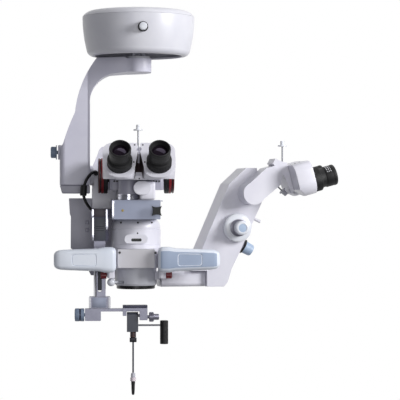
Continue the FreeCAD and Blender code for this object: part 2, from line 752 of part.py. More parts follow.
# Filter box with its star knob, and the parts between it and the binocular head
box_left = size("box_left", -46.6)
box_right = size("box_right", 33.8)
box_top = size("box_top", -320)
box_front = size("box_front", -78)
box_back = size("box_back", 30)
filter_box = new_body("filter_box")
pad(filter_box, "XZ_Plane", [rounded((box_left + box_right) / 2, (box_top + zoom_top + seat_gap) / 2,
    box_right - box_left, box_top - zoom_top - seat_gap, 1.2)], -box_back, box_back - box_front)
pad(filter_box, "XY_Plane", [box_loop(box_right - 2, box_front + 6, box_right + 4, box_back - 4)],
    box_top - 2.4, 1.6)

star_x = size("star_x", 27)
star_z = size("star_z", -338)
star_half = size("star_half", 8.3)
star_length = size("star_length", 11)
star_knob = new_body("star_knob", (star_x, box_front, star_z), X, 90)
dent = star_half * 0.74
pad(star_knob, "XY_Plane", [[
    (star_half, star_half), Via(0, dent), (-star_half, star_half), Via(-dent, 0),
    (-star_half, -star_half), Via(0, -dent), (star_half, -star_half), Via(dent, 0)]], 6, star_length)
pad(star_knob, "XY_Plane", [Circle(0, 0, knob_shaft)], -8, 15)
cut(filter_box, "XZ_Plane", [Circle(star_x, star_z, knob_shaft + shaft_gap)], -box_front - 10, 12)

splitter_half = size("splitter_half", 45.5)
splitter_top = size("splitter_top", -283)
splitter_bottom = size("splitter_bottom", -303)
splitter_front = size("splitter_front", -45)
beam_splitter = new_body("beam_splitter")
splitter_back = plate_front - seat_gap
pad(beam_splitter, "XY_Plane", [rounded(axis_x, (splitter_front + splitter_back) / 2, splitter_half * 2,
    splitter_back - splitter_front, 6)], splitter_bottom, splitter_top - splitter_bottom)
column_half = size("column_half", 30)
pad(beam_splitter, "XY_Plane", [rounded(axis_x - 2, 0, column_half * 2, 56, 12)], box_top + seat_gap,
    splitter_bottom - box_top - seat_gap + 1)

wheel_radius = size("wheel_radius", 30)
wheel_inner = size("wheel_inner", 48)
wheel_thickness = size("wheel_thickness", 16)
wheel_z = size("wheel_z", -279)
wheel_y = size("wheel_y", -8)
wheel_shaft = size("wheel_shaft", 4)
shaft_z = wheel_z
turret_top = size("turret_top", -262)
pad(beam_splitter, "XY_Plane", [rounded(axis_x, (splitter_back + wheel_y) / 2 - 6, splitter_half * 2 - 4,
    splitter_back - wheel_y + 12, 5)], splitter_top - 1, turret_top - splitter_top + 1)
for label, side in (("left_filter_wheel", -1), ("right_filter_wheel", 1)):
    wheel = new_body(label, (axis_x + side * wheel_inner, wheel_y, shaft_z), Vector(0, 1, 0), 90 * side)
    turn(wheel, [
        (0, -12), (wheel_shaft, -12), (wheel_shaft, -2), (11, -2), (11, 0), (wheel_radius - 1, 0),
        (wheel_radius, 1), (wheel_radius, wheel_thickness * 0.3),
        (wheel_radius - 1.5, wheel_thickness * 0.36), (wheel_radius - 1.5, wheel_thickness * 0.6),
        (wheel_radius, wheel_thickness * 0.66),
        (wheel_radius, wheel_thickness - 2), (wheel_radius - 2, wheel_thickness),
        (0, wheel_thickness)])
    cut(beam_splitter, "YZ_Plane", [Circle(wheel_y, shaft_z, wheel_shaft + shaft_gap)],
        axis_x + side * (splitter_half - 6) - 7, 14)

tube_x = size("tube_x", -19)
tube_y = size("tube_y", -63.4)
tube_radius = size("tube_radius", 17.4)
head_floor = size("head_floor", -287)
inverter = new_body("inverter")
pad(inverter, "XY_Plane", [Circle(tube_x, tube_y, tube_radius + 0.6)], box_top + seat_gap, 9.5)
pad(inverter, "XY_Plane", [Circle(tube_x, tube_y, tube_radius)], box_top + 9,
    head_floor - seat_gap - box_top - 9)
block_x0 = tube_x + tube_radius + 0.8
invert_right = size("invert_right", 25)
invert_front = size("invert_front", -88)
pad(inverter, "XZ_Plane", [rounded((block_x0 + invert_right) / 2, (box_top + head_floor - 2) / 2,
    invert_right - block_x0, head_floor - box_top - 2 - seat_gap, 4)], -splitter_front + seat_gap,
    splitter_front - invert_front - seat_gap)

dial_radius = size("dial_radius", 11.5)
dial_x = size("dial_x", 0)
dial_z = size("dial_z", -300)
dial_thickness = size("dial_thickness", 6)
pad_x = dial_x + 6
inverter_lever = new_body("inverter_lever", (pad_x, invert_front, dial_z), X, 90)
pad(inverter_lever, "XY_Plane", [Circle(0, 0, knob_shaft)], -8, 9)
pad(inverter_lever, "XY_Plane", [[
    (0, -dial_radius), Via(dial_radius, 0), (0, dial_radius), (-6, dial_radius),
    Via(-6 - dial_radius, 0), (-6, -dial_radius)]], seat_gap, dial_thickness)
cut(inverter, "XZ_Plane", [Circle(pad_x, dial_z, knob_shaft + shaft_gap)], -invert_front - 10, 12)

# Binocular head. Its own frame stands on the hinge line of the two oculars:
# x to the right, y up the sloping face, z out along the eyepieces.
head_pitch = size("head_pitch", 38)
hinge_y = size("hinge_y", -143.1)
hinge_z = size("hinge_z", -237.1)
half_pd = size("half_pd", 31.75)
eye_drop = size("eye_drop", 31.8)
lobe_thickness = size("lobe_thickness", 30)
lobe_top = size("lobe_top", 13)
lobe_radius = size("lobe_radius", 27)
hinge_pin = size("hinge_pin", 4)
eye_bore = size("eye_bore", 12)

binocular_base = new_body("binocular_base", (axis_x, hinge_y, hinge_z), X, 90 - head_pitch)
web_front = -lobe_thickness - 0.4
pad(binocular_base, "XY_Plane", [rounded(0, -8, 68, 34, 8)], web_front - 12, 12)
pad(binocular_base, "XY_Plane", [Circle(0, 0, hinge_pin)], web_front - 1, lobe_thickness * 0.8)
rise = sine(head_pitch)
run = cosine(head_pitch)


# a place of the room, given as Y and Z, in the head's sloping frame
def on_head(y, z):
    dy = y - hinge_y
    dz = z - hinge_z
    return (dy * rise + dz * run, dz * rise - dy * run)


base_front = size("base_front", -128)
base_top = size("base_top", -271)
base_half = size("base_half", 36)
pad(binocular_base, "YZ_Plane", [[
    on_head(base_front, head_floor), on_head(base_front, base_top),
    on_head(splitter_front - 30, base_top + 4),
    on_head(splitter_front - seat_gap, base_top), on_head(splitter_front - seat_gap, head_floor)]],
    -base_half, base_half * 2)


def ocular(label, side, place, turned, drop, top, radius, thickness, floor_line):
    # one half of the head: round about its eyepiece, and cut away from its twin on both sides of the hinge
    body = new_body(label)
    place_at(body, place, turned)
    work_out(body)
    outer = half_pd + radius
    foot = -drop - radius
    loop = [
        (side * 3.1, top), (side * (outer - 16), top), Via(side * (outer - 4.7), top - 5),
        (side * outer, top - 17), (side * outer, -drop),
        Via(side * (half_pd + radius * math.sqrt(0.5)), -drop - radius * math.sqrt(0.5)),
        (side * half_pd, foot), (side * 25, foot), Via(side * 12.4, foot + 5.5),
        (side * 7.4, foot + 19), (side * (hinge_pin * 0.3 + 0.5), -hinge_pin - 0.35),
        Via(side * (hinge_pin + seat_gap), 0), (side * 1.2, hinge_pin + 0.2)]
    pad(body, "XY_Plane", [loop], -thickness, thickness)
    if floor_line:
        cut(body, "YZ_Plane", [floor_line], -half_pd * 3, half_pd * 6)
    cut(body, "XY_Plane", [Circle(side * half_pd, -drop, eye_bore + shaft_gap)], -10, 12)
    return body


reach_below = size("reach_below", 60)
low_start = on_head(hinge_y - 90, head_floor + 1)
low_end = on_head(hinge_y + 60, head_floor + 1)
low_corner = on_head(hinge_y + 60, head_floor - reach_below)
low_back = on_head(hinge_y - 90, head_floor - reach_below)
head_place = (axis_x, hinge_y, hinge_z)
head_angle = 90 - head_pitch
head_frame = Rotation(X, head_angle.value)
below_floor = [low_start, low_end, low_corner, low_back]
left_ocular = ocular("left_ocular", -1, head_place, head_frame, eye_drop, lobe_top, lobe_radius,
                     lobe_thickness, below_floor)
right_ocular = ocular("right_ocular", 1, head_place, head_frame, eye_drop, lobe_top, lobe_radius,
                      lobe_thickness, below_floor)

# Eyepieces: knurled base ring, stepped barrel and rolled eyecup
eye_base = size("eye_base", 20)
eye_barrel = size("eye_barrel", 17.5)
eye_length = size("eye_length", 41)


def eyepiece_profile(face):
    return [
        (0, -8), (eye_bore, -8), (eye_bore, face + seat_gap), (eye_base - 1, face + seat_gap),
        (eye_base, 1.5), (eye_base, 12), (eye_base - 1.4, 14), (eye_barrel - 1.2, 15), (eye_barrel - 1.2, 22),
        (eye_barrel, 23), (eye_barrel, eye_length - 5), Via(eye_barrel - 0.6, eye_length - 1.4),
        (eye_barrel - 3, eye_length), (eye_barrel - 4.6, eye_length - 1.5),
        (eye_barrel - 5.5, eye_length - 7), (0, eye_length - 7)]


for label, side in (("left_eyepiece", -1), ("right_eyepiece", 1)):
    eyepiece = new_body(label, (axis_x + side * half_pd, hinge_y - eye_drop * rise, hinge_z - eye_drop * run),
                        X, head_angle)
    turn(eyepiece, eyepiece_profile(0))


# Knob that sets the spread of two oculars: thin stem, flange and cap
def spread_knob(body, stem_length, stem, flange, cap):
    turn(body, [
        (0, -6), (stem, -6), (stem, stem_length), (flange, stem_length), (flange, stem_length + 2.4),
        (cap, stem_length + 3.4), (cap, stem_length + 12.4), (cap - 0.8, stem_length + 13.2),
        (0, stem_length + 13.2)])


spread_stem = size("spread_stem", 1.3)
spread_flange = size("spread_flange", 7.8)
spread_cap = size("spread_cap", 3.4)
spread_y = size("spread_y", -108)
spread_stem_length = size("spread_stem_length", 45)
pd_knob = new_body("pd_knob", (axis_x, spread_y, hinge_z - 14))
spread_knob(pd_knob, spread_stem_length, spread_stem, spread_flange, spread_cap)
socket_radius = size("socket_radius", 5)
pad(binocular_base, "XY_Plane", [rounded(0, 5, 12, 18, 3)], web_front - 24, 13)
spread_hole = peg("spread_hole", (axis_x, spread_y, hinge_z - 21), Rotation(), spread_stem + shaft_gap, 60)
binocular_base = combine("Part::Cut", "binocular_base", binocular_base, spread_hole)

# Assistant scope. Its frame is turned about the microscope's axis:
# x outwards to the right, y away from the surgeon.
assistant_yaw = size("assistant_yaw", 10)
assistant_place = (axis_x, 0, 0)
base_depth = size("base_depth", 40)
base_top_z = size("base_top_z", -440.8)
base_bottom_z = size("base_bottom_z", -467.4)
base_seam = size("base_seam", 117.3)
body_depth = size("body_depth", 60)
collar_width = size("collar_width", 6)

assistant_base = new_body("assistant_base", assistant_place, Z, assistant_yaw)
collar_in = objective_radius + seat_gap
collar_out = collar_in + collar_width
collar_start = size("collar_start", -40)
collar_sweep = size("collar_sweep", 200)
pad(assistant_base, "XY_Plane", [[
    polar(collar_in, collar_start), Via(*polar(collar_in, collar_start + collar_sweep / 2)),
    polar(collar_in, collar_start + collar_sweep), polar(collar_out, collar_start + collar_sweep),
    Via(*polar(collar_out, collar_start + collar_sweep / 2)), polar(collar_out, collar_start)]],
    base_top_z - 14, 13)
pad(assistant_base, "YZ_Plane", [rounded(0, (base_top_z + base_bottom_z) / 2, base_depth,
    base_top_z - base_bottom_z, 7)], collar_out - 1.5, base_seam - collar_out + 1.5 - seat_gap)

assistant_body = new_body("assistant_body", assistant_place, Z, assistant_yaw)
lean = size("lean", 0.4415)
edge_x = size("edge_x", 106.8)
edge_z = size("edge_z", -406.6)
body_top = size("body_top", -265.2)


def left_edge(z):
    return edge_x + (z - edge_z) * lean


pad(assistant_body, "XZ_Plane", [[
    (base_seam, base_bottom_z), (base_seam + 30, base_bottom_z), (base_seam + 36.5, base_bottom_z + 7.4),
    (base_seam + 44, base_bottom_z + 31.4), (base_seam + 58, edge_z - 2), (left_edge(-369.6) + 70, -369.6),
    (left_edge(-325) + 71, -325), (left_edge(-300) + 57, -300), (left_edge(body_top) + 36, body_top),
    (left_edge(body_top) + 17, body_top), (left_edge(-292.7) - 1, -292.7),
    (edge_x, edge_z), (left_edge(base_top_z + seat_gap), base_top_z + seat_gap),
    (base_seam, base_top_z + seat_gap)]], -body_depth / 2, body_depth)

# Focus knob of the assistant scope, on the front face
knob_x = size("knob_x", 168.8)
knob_z = size("knob_z", -367.2)
disc_radius = size("disc_radius", 24.4)
disc_thickness = size("disc_thickness", 11)
stage_radius = size("stage_radius", 15)
cap_radius = size("cap_radius", 11.8)
turn_frame = Rotation(Z, assistant_yaw.value)


def in_assistant(x, y, z):
    # a place of the assistant's frame in the room
    return (axis_x + x * cosine(assistant_yaw) - y * sine(assistant_yaw),
            x * sine(assistant_yaw) + y * cosine(assistant_yaw), z)


def assistant_turned(label, x, y, z, way, loop):
    # a turned piece whose own Z points along a direction of the assistant's frame
    body = new_body(label)
    place_at(body, in_assistant(x, y, z), turn_frame * Rotation(Z, way))
    work_out(body)
    turn(body, loop)
    return body


front_face = -body_depth / 2
assistant_turned("assistant_focus_knob", knob_x, front_face, knob_z, Vector(0, -1, 0), [
    (0, -10), (6, -10), (6, 2.5), (disc_radius - 2, 2.5), (disc_radius, 5),
    (disc_radius, 2.5 + disc_thickness - 2),
    (disc_radius - 2, 2.5 + disc_thickness), (stage_radius, 2.5 + disc_thickness + 2), (stage_radius - 2, 27),
    (cap_radius, 29), (cap_radius, 40), (cap_radius - 2, 42), (7, 42.4), (0, 42.8)])
cut(assistant_body, "XZ_Plane", [Circle(knob_x, knob_z, 6 + shaft_gap)], -front_face - 12, 14)

# Light knob on the right edge, square to that edge
light_x = size("light_x", 178)
light_z = size("light_z", -395)
light_fall = size("light_fall", 28)
light_radius = size("light_radius", 10.5)
light_way = Vector(math.cos(math.radians(light_fall.value)), 0, -math.sin(math.radians(light_fall.value)))
assistant_turned("assistant_light_knob", light_x, -8, light_z, light_way, [
    (0, -6), (4, -6), (4, 5.6), (7, 6.6), (7, 9.6), (12.6, 9.6), (12.6, 11), (light_radius, 11.6),
    (light_radius - 1.2, 26), (light_radius - 2.6, 27.6), (0, 27.6)])
light_hole = peg("light_hole", in_assistant(light_x - 12 * light_way.x, -8, light_z - 12 * light_way.z),
                 turn_frame * Rotation(Z, light_way), 4 + shaft_gap, 24)
assistant_bored = combine("Part::Cut", "assistant_body", assistant_body, light_hole)

# Prism turret that tilts on the front face, with the barrel towards the binocular
turret_x = size("turret_x", 190)
turret_z = size("turret_z", -309)
turret_radius = size("turret_radius", 19)
turret_depth = size("turret_depth", 40)
barrel_pitch = size("barrel_pitch", 42)
barrel_half = size("barrel_half", 18)
barrel_length = size("barrel_length", 58)
turret_front = front_face - seat_gap


def along_barrel(out, side):
    return (turret_x + out * cosine(barrel_pitch) - side * sine(barrel_pitch),
            turret_z + out * sine(barrel_pitch) + side * cosine(barrel_pitch))


def mid_height(at):
    return (at[0], head_mid, at[1])


barrel_way = Vector(math.cos(math.radians(barrel_pitch.value)), 0, math.sin(math.radians(barrel_pitch.value)))
head_mid = turret_front - turret_depth / 2
prism_turret = new_body("prism_turret", assistant_place, Z, assistant_yaw)
pad(prism_turret, "XZ_Plane", [[
    along_barrel(6, -barrel_half), Via(*along_barrel(-turret_radius, 0)), along_barrel(6, barrel_half),
    along_barrel(barrel_length - 14, barrel_half), along_barrel(barrel_length, barrel_half - 7),
    along_barrel(barrel_length, -barrel_half + 9), along_barrel(barrel_length - 12, -barrel_half - 2)]],
    -turret_front, turret_depth)
pad(prism_turret, "XZ_Plane", [Circle(turret_x, turret_z, 9)], -turret_front - 9, 10)
cut(assistant_body, "XZ_Plane", [Circle(turret_x, turret_z, 9 + shaft_gap)], -front_face - 10, 12)

# Stop pin on the right edge of the assistant body
pin_x = size("pin_x", 200)
pin_z = size("pin_z", -349)
pin_fall = size("pin_fall", 26)
pin_way = Vector(math.cos(math.radians(pin_fall.value)), 0, -math.sin(math.radians(pin_fall.value)))
stop_pin = peg("stop_pin", in_assistant(pin_x, -6, pin_z), turn_frame * Rotation(Z, pin_way), 2.6, 20)
assistant_pinned = combine("Part::Fuse", "assistant_body", assistant_bored, stop_pin)

# Rotator knob below the barrel
rotator_out = size("rotator_out", 42)
rotator_at = along_barrel(rotator_out, -barrel_half)
rotator_way = Vector(math.sin(math.radians(48)), 0, -math.cos(math.radians(48)))
assistant_turned("rotator_knob", rotator_at[0], head_mid, rotator_at[1], rotator_way, [
    (0, -6), (1.3, -6), (1.3, 14), (6.2, 14), (6.2, 16), (4.6, 17), (4.2, 24), (0, 25)])
rotator_hole = peg("rotator_hole", in_assistant(rotator_at[0] - 8 * rotator_way.x, head_mid,
                                                rotator_at[1] - 8 * rotator_way.z),
                   turn_frame * Rotation(Z, rotator_way), 1.3 + shaft_gap, 18)
prism_turret = combine("Part::Cut", "prism_turret", prism_turret, rotator_hole)
head_spigot = size("head_spigot", 8)
head_bore = peg("head_bore", in_assistant(*mid_height(along_barrel(barrel_length - 12, 0))),
                turn_frame * Rotation(Z, barrel_way), head_spigot + shaft_gap, 14)
prism_turret = combine("Part::Cut", "prism_turret", prism_turret, head_bore)

# Assistant binocular. Its frame stands on the hinge line of its two oculars:
# x to the far side, y up the face, z out along the eyepieces.
view_pitch = size("view_pitch", 15)
view_drop = size("view_drop", 26)
view_top = size("view_top", 9)
view_radius = size("view_radius", 22)
view_thickness = size("view_thickness", 31)
view_x = size("view_x", 281.3)
view_z = size("view_z", -261.9)
view_frame = turn_frame * Rotation(Y, 90 - view_pitch.value) * Rotation(Z, 90)
view_rise = sine(view_pitch)
view_run = cosine(view_pitch)


def on_view(x, z):
    # a place of the assistant's frame as height and reach in the binocular's frame
    dx = x - view_x
    dz = z - view_z
    return (dz * view_run - dx * view_rise, dx * view_run + dz * view_rise)


def view_body(label, across, up):
    body = new_body(label)
    at = in_assistant(view_x - up * view_rise, head_mid + across, view_z + up * view_run)
    place_at(body, at, view_frame)
    work_out(body)
    return body


head_back = barrel_length + seat_gap
assistant_head = view_body("assistant_head", 0, 0)
pad(assistant_head, "YZ_Plane", [[
    on_view(*along_barrel(head_back, barrel_half - 2)),
    on_view(*along_barrel(head_back + 9, barrel_half + 1)),
    (16, -view_thickness - 6), (14, -view_thickness - 0.4), (-36, -view_thickness - 0.4),
    (-40, -view_thickness - 6), on_view(*along_barrel(head_back, -barrel_half + 2))]],
    -barrel_half, barrel_half * 2)
pad(assistant_head, "XY_Plane", [Circle(0, 0, hinge_pin)], -view_thickness - 1, view_thickness * 0.75)
spigot = peg("head_spigot_bar", in_assistant(*mid_height(along_barrel(barrel_length - 11.5, 0))),
             turn_frame * Rotation(Z, barrel_way), head_spigot, 16)
assistant_head = combine("Part::Fuse", "assistant_head", assistant_head, spigot)
view_stem_x = size("view_stem_x", 244.5)
view_stem_z = size("view_stem_z", -254)
view_stem_length = size("view_stem_length", 25)
view_hole = peg("view_hole", in_assistant(view_stem_x, head_mid, view_stem_z - 7), Rotation(),
                spread_stem + shaft_gap, 40)
assistant_head = combine("Part::Cut", "assistant_head", assistant_head, view_hole)
assistant_pd_knob = new_body("assistant_pd_knob", in_assistant(view_stem_x, head_mid, view_stem_z))
spread_knob(assistant_pd_knob, view_stem_length, spread_stem, spread_flange, spread_cap)

view_back = -view_thickness - 1
under = [(-view_drop - 31, -12), (-view_drop - 7, view_back), (-view_drop - 60, view_back),
         (-view_drop - 60, -12)]
view_place = in_assistant(view_x, head_mid, view_z)
near_ocular = ocular("near_ocular", -1, view_place, view_frame, view_drop, view_top, view_radius,
                     view_thickness, under)
far_ocular = ocular("far_ocular", 1, view_place, view_frame, view_drop, view_top, view_radius,
                    view_thickness, under)
for label, side in (("near_eyepiece", -1), ("far_eyepiece", 1)):
    eyepiece = view_body(label, side * half_pd, -view_drop)
    turn(eyepiece, eyepiece_profile(0))

# Wide-angle lens attachment at the left: a bracket, a sliding rail, and a cross arm
# whose carriage holds the lens under the objective
side_y = size("side_y", -13)
bracket_left = size("bracket_left", -79.5)
bracket_right = size("bracket_right", -51.5)
bracket_top = size("bracket_top", -335)
bracket_bottom = size("bracket_bottom", -389)
bracket_depth = size("bracket_depth", 20)
rail_width = size("rail_width", 20)
rail_depth = size("rail_depth", 8)
rail_x = size("rail_x", -66)
rail_top = size("rail_top", -339)
yoke_top = size("yoke_top", -483)
yoke_bottom = size("yoke_bottom", -503)
lens_bracket = new_body("lens_bracket")
pad(lens_bracket, "XY_Plane", [box_loop(bracket_left, side_y - bracket_depth / 2, bracket_right,
    side_y + bracket_depth / 2)], bracket_bottom, bracket_top - bracket_bottom)
pad(lens_bracket, "XY_Plane", [box_loop(bracket_right - 1, side_y - bracket_depth / 2, box_left - seat_gap,
    side_y + bracket_depth / 2)], zoom_top + 2, bracket_top - zoom_top - 2)
cut(lens_bracket, "XY_Plane", [
    rounded(rail_x, side_y, rail_width + 2 * seat_gap, rail_depth + 2 * seat_gap, 0.5)],
    bracket_bottom - 1, bracket_top - bracket_bottom + 2)

lens_rail = new_body("lens_rail")
pad(lens_rail, "XY_Plane", [rounded(rail_x, side_y, rail_width, rail_depth, 0.6)], yoke_top - 1,
    rail_top - yoke_top + 1)
cut(lens_rail, "XZ_Plane", [rounded(rail_x, (bracket_bottom + yoke_top) / 2 - 6, 7, 66, 3)],
    -side_y - rail_depth, rail_depth * 2)
pad(lens_rail, "XZ_Plane", [rounded(rail_x, (yoke_top + yoke_bottom) / 2, 36, yoke_top - yoke_bottom, 2)],
    -side_y - 8, 16)
post_x = size("post_x", -76)
post_pin = size("post_pin", 3)
cut(lens_rail, "XY_Plane", [Circle(post_x, side_y, post_pin + shaft_gap)], yoke_bottom - 1,
    yoke_top - yoke_bottom + 2)

arm_plate_left = size("arm_plate_left", -66)
arm_plate_right = size("arm_plate_right", 12)
arm_plate_depth = size("arm_plate_depth", 14)
arm_plate_thickness = size("arm_plate_thickness", 5)
drive_left = size("drive_left", -91)
drive_right = size("drive_right", -64)
drive_bottom = size("drive_bottom", -524)
drive_knob_z = size("drive_knob_z", -514)
drive_knob_radius = size("drive_knob_radius", 11)
drive_knob_length = size("drive_knob_length", 16)
arm_top = yoke_bottom - seat_gap
cross_arm = new_body("cross_arm")
pad(cross_arm, "XZ_Plane", [rounded((drive_left + drive_right) / 2, (arm_top + drive_bottom) / 2,
    drive_right - drive_left, arm_top - drive_bottom, 1.5)], -side_y - 9, 18)
pad(cross_arm, "XY_Plane", [rounded((arm_plate_left + arm_plate_right) / 2, side_y,
    arm_plate_right - arm_plate_left, arm_plate_depth, 1.5)], arm_top - arm_plate_thickness,
    arm_plate_thickness)
pad(cross_arm, "XY_Plane", [Circle(post_x, side_y, post_pin)], arm_top - 1, 18)
cut(cross_arm, "YZ_Plane", [Circle(side_y, drive_knob_z, knob_shaft + shaft_gap)], drive_left - 1, 10)

lens_drive_knob = new_body("lens_drive_knob", (drive_left, side_y, drive_knob_z), Y, -90)
turn(lens_drive_knob, [
    (0, -8), (knob_shaft, -8), (knob_shaft, 1), (drive_knob_radius - 1, 1), (drive_knob_radius, 2),
    (drive_knob_radius, drive_knob_length), (drive_knob_radius - 1, drive_knob_length + 1),
    (drive_knob_radius * 0.6, drive_knob_length + 1.5), (0, drive_knob_length + 1.5)])

carriage_left = size("carriage_left", -27)
carriage_right = size("carriage_right", 14.5)
carriage_top = size("carriage_top", -497.8)
carriage_bottom = size("carriage_bottom", -523)
cheek = size("cheek", 1.5)
swing_z = size("swing_z", -515.6)
swing_pin = size("swing_pin", 2.5)
lens_carriage = new_body("lens_carriage")
slot_front = arm_plate_depth / 2 + seat_gap
arm_floor = arm_top - arm_plate_thickness - seat_gap
pad(lens_carriage, "YZ_Plane", [box_loop(side_y - slot_front - 3, arm_top + seat_gap, side_y + slot_front + 3,
    carriage_top)], carriage_left, carriage_right - carriage_left)
for side in (-1, 1):
    wall_near = side_y + side * (slot_front + 1.5) - 1.5
    pad(lens_carriage, "YZ_Plane", [box_loop(wall_near, arm_floor - 1, wall_near + 3, arm_top + 1)],
        carriage_left, carriage_right - carriage_left)
pad(lens_carriage, "YZ_Plane", [
    box_loop(side_y - slot_front - 3, arm_floor - 7, side_y + slot_front + 3, arm_floor)], carriage_left, 6)
pad(lens_carriage, "YZ_Plane", [box_loop(side_y - slot_front - 3, carriage_bottom, side_y + slot_front + 3,
    arm_floor)], cheek, carriage_right - cheek)
cut(lens_carriage, "YZ_Plane", [box_loop(side_y - slot_front - 4, arm_floor - 2, side_y + slot_front + 4,
    arm_floor + 1.8)], carriage_left + 6, cheek - carriage_left - 6)
pad(lens_carriage, "YZ_Plane", [Circle(side_y, swing_z, swing_pin)], cheek - 14, 15)
clamp_disc_z = size("clamp_disc_z", -518)
clamp_disc_radius = size("clamp_disc_radius", 8.3)
cut(lens_carriage, "YZ_Plane", [Circle(side_y, clamp_disc_z, knob_shaft + shaft_gap)], carriage_right - 8, 9)

cross_arm_knob = new_body("cross_arm_knob", (carriage_right, side_y, clamp_disc_z), Y, 90)
turn(cross_arm_knob, [
    (0, -7), (knob_shaft, -7), (knob_shaft, 3), (clamp_disc_radius, 3), (clamp_disc_radius, 11),
    (clamp_disc_radius - 2.6, 11.5), (clamp_disc_radius - 3, 19), (0, 20)])

swing_left = size("swing_left", -20)
swing_right = size("swing_right", -1)
swing_bottom = size("swing_bottom", -543)
swing_half = size("swing_half", 6)
rod_x = size("rod_x", -9.5)
lens_rod = size("lens_rod", 1.5)
lens_rod_end = size("lens_rod_end", -612)
swing_block = new_body("swing_block")
pad(swing_block, "YZ_Plane", [[
    (side_y - swing_half, swing_bottom), (side_y + swing_half, swing_bottom), (side_y + swing_half, swing_z),
    Via(side_y, swing_z + swing_half), (side_y - swing_half, swing_z)]], swing_left, swing_right - swing_left)
cut(swing_block, "YZ_Plane", [Circle(side_y, swing_z, swing_pin + shaft_gap)], swing_right - 13, 14)
pad(swing_block, "XY_Plane", [Circle(rod_x, side_y, 5)], swing_bottom - 9, 9.5)
pad(swing_block, "XY_Plane", [Circle(rod_x, side_y, lens_rod)], lens_rod_end, swing_bottom - lens_rod_end)

handle_rod_z = size("handle_rod_z", -532)
grip_x = size("grip_x", 43)
grip_radius = size("grip_radius", 6.8)
grip_top = size("grip_top", -524)
grip_bottom = size("grip_bottom", -564)
swing_handle = new_body("swing_handle")
pad(swing_handle, "YZ_Plane", [Circle(side_y, handle_rod_z, 1.6)], swing_right + seat_gap,
    grip_x - swing_right)
pad(swing_handle, "XY_Plane", [Circle(grip_x, side_y, grip_radius)], grip_bottom, grip_top - grip_bottom)

tip_end = size("tip_end", -650)
lens_holder = new_body("lens_holder", (rod_x, side_y, lens_rod_end - seat_gap))
holder_length = lens_rod_end - tip_end - seat_gap
turn(lens_holder, [
    (0, 0), (2.4, 0), (2.8, -3), (4.6, -6), (5.1, -10), (5.1, -19), (4.2, -20), (4, -26), (3.2, -28),
    (2.6, -holder_length + 2), (1.6, -holder_length), (0, -holder_length)])

# Small dome-headed screws on the column
screw_radius = size("screw_radius", 2)
screw_head = size("screw_head", 1)
body_screws = new_body("body_screws")
pad(body_screws, "XZ_Plane", [Circle(-33.2, -407.8, screw_radius), Circle(26.4, -408.6, screw_radius)],
    face_thickness - block_front, screw_head)
pad(body_screws, "XZ_Plane", [Circle(x, head_floor + 3, screw_radius) for x in (-19.5, 10)],
    -base_front, screw_head)

doc.recompute()
broken = [item.Name for item in doc.Objects if "Invalid" in item.State or "Error" in item.State]
for piece in pieces:
    shape = piece.Shape
    if shape.isNull() or not shape.isValid():
        broken.append(piece.Label)
print("broken", broken)
os.makedirs("parts", exist_ok=True)
for piece in pieces:
    if piece.Label not in broken:
        piece.Shape.exportStep(f"parts/{piece.Label}.step")
print(len(pieces), "nodes")
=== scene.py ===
import math

import bpy
from mathutils import Matrix, Vector


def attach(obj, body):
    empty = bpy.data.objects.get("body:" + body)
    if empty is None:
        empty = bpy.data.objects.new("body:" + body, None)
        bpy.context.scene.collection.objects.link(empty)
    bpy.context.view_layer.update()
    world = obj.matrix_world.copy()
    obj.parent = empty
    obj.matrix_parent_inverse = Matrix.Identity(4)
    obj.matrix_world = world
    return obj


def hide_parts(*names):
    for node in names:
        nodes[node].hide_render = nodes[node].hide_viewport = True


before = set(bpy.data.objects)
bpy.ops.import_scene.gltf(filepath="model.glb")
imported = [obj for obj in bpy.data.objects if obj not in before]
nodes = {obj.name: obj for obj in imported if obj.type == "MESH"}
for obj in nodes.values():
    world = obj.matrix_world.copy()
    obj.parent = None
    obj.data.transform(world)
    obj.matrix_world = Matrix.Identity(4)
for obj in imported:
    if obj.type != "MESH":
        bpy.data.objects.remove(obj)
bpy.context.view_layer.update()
print("stage: frame loaded")

# The photograph's view: from 3.1 m away, level with the column, and 4 degrees off the front
view = {"lens": 166.5, "sensor": 36, "place": (-0.115, -3.145, -0.320), "turn": -4}
cameraData = bpy.data.cameras.new("photoCamera")
cameraData.lens = view["lens"]
cameraData.sensor_width = view["sensor"]
cameraData.clip_end = 20
camera = bpy.data.objects.new("photoCamera", cameraData)
camera.location = view["place"]
camera.rotation_euler = (math.radians(90), 0, math.radians(view["turn"]))
bpy.context.scene.collection.objects.link(camera)
bpy.context.scene.camera = camera
bpy.context.scene.view_settings.view_transform = "Standard"


# Small tools for shaders
def toLinear(hexColour):
    channels = [int(hexColour[i:i + 2], 16) / 255 for i in (1, 3, 5)]
    return tuple(c / 12.92 if c <= 0.04045 else ((c + 0.055) / 1.055) ** 2.4 for c in channels) + (1,)


def addNode(tree, kind, **values):
    node = tree.nodes.new(kind)
    for key, value in values.items():
        if hasattr(node, key):
            setattr(node, key, value)
        else:
            node.inputs[key.replace("_", " ")].default_value = value
    return node


def newMaterial(name):
    material = bpy.data.materials.new(name)
    material.use_nodes = True
    tree = material.node_tree
    return material, tree, tree.nodes["Principled BSDF"]


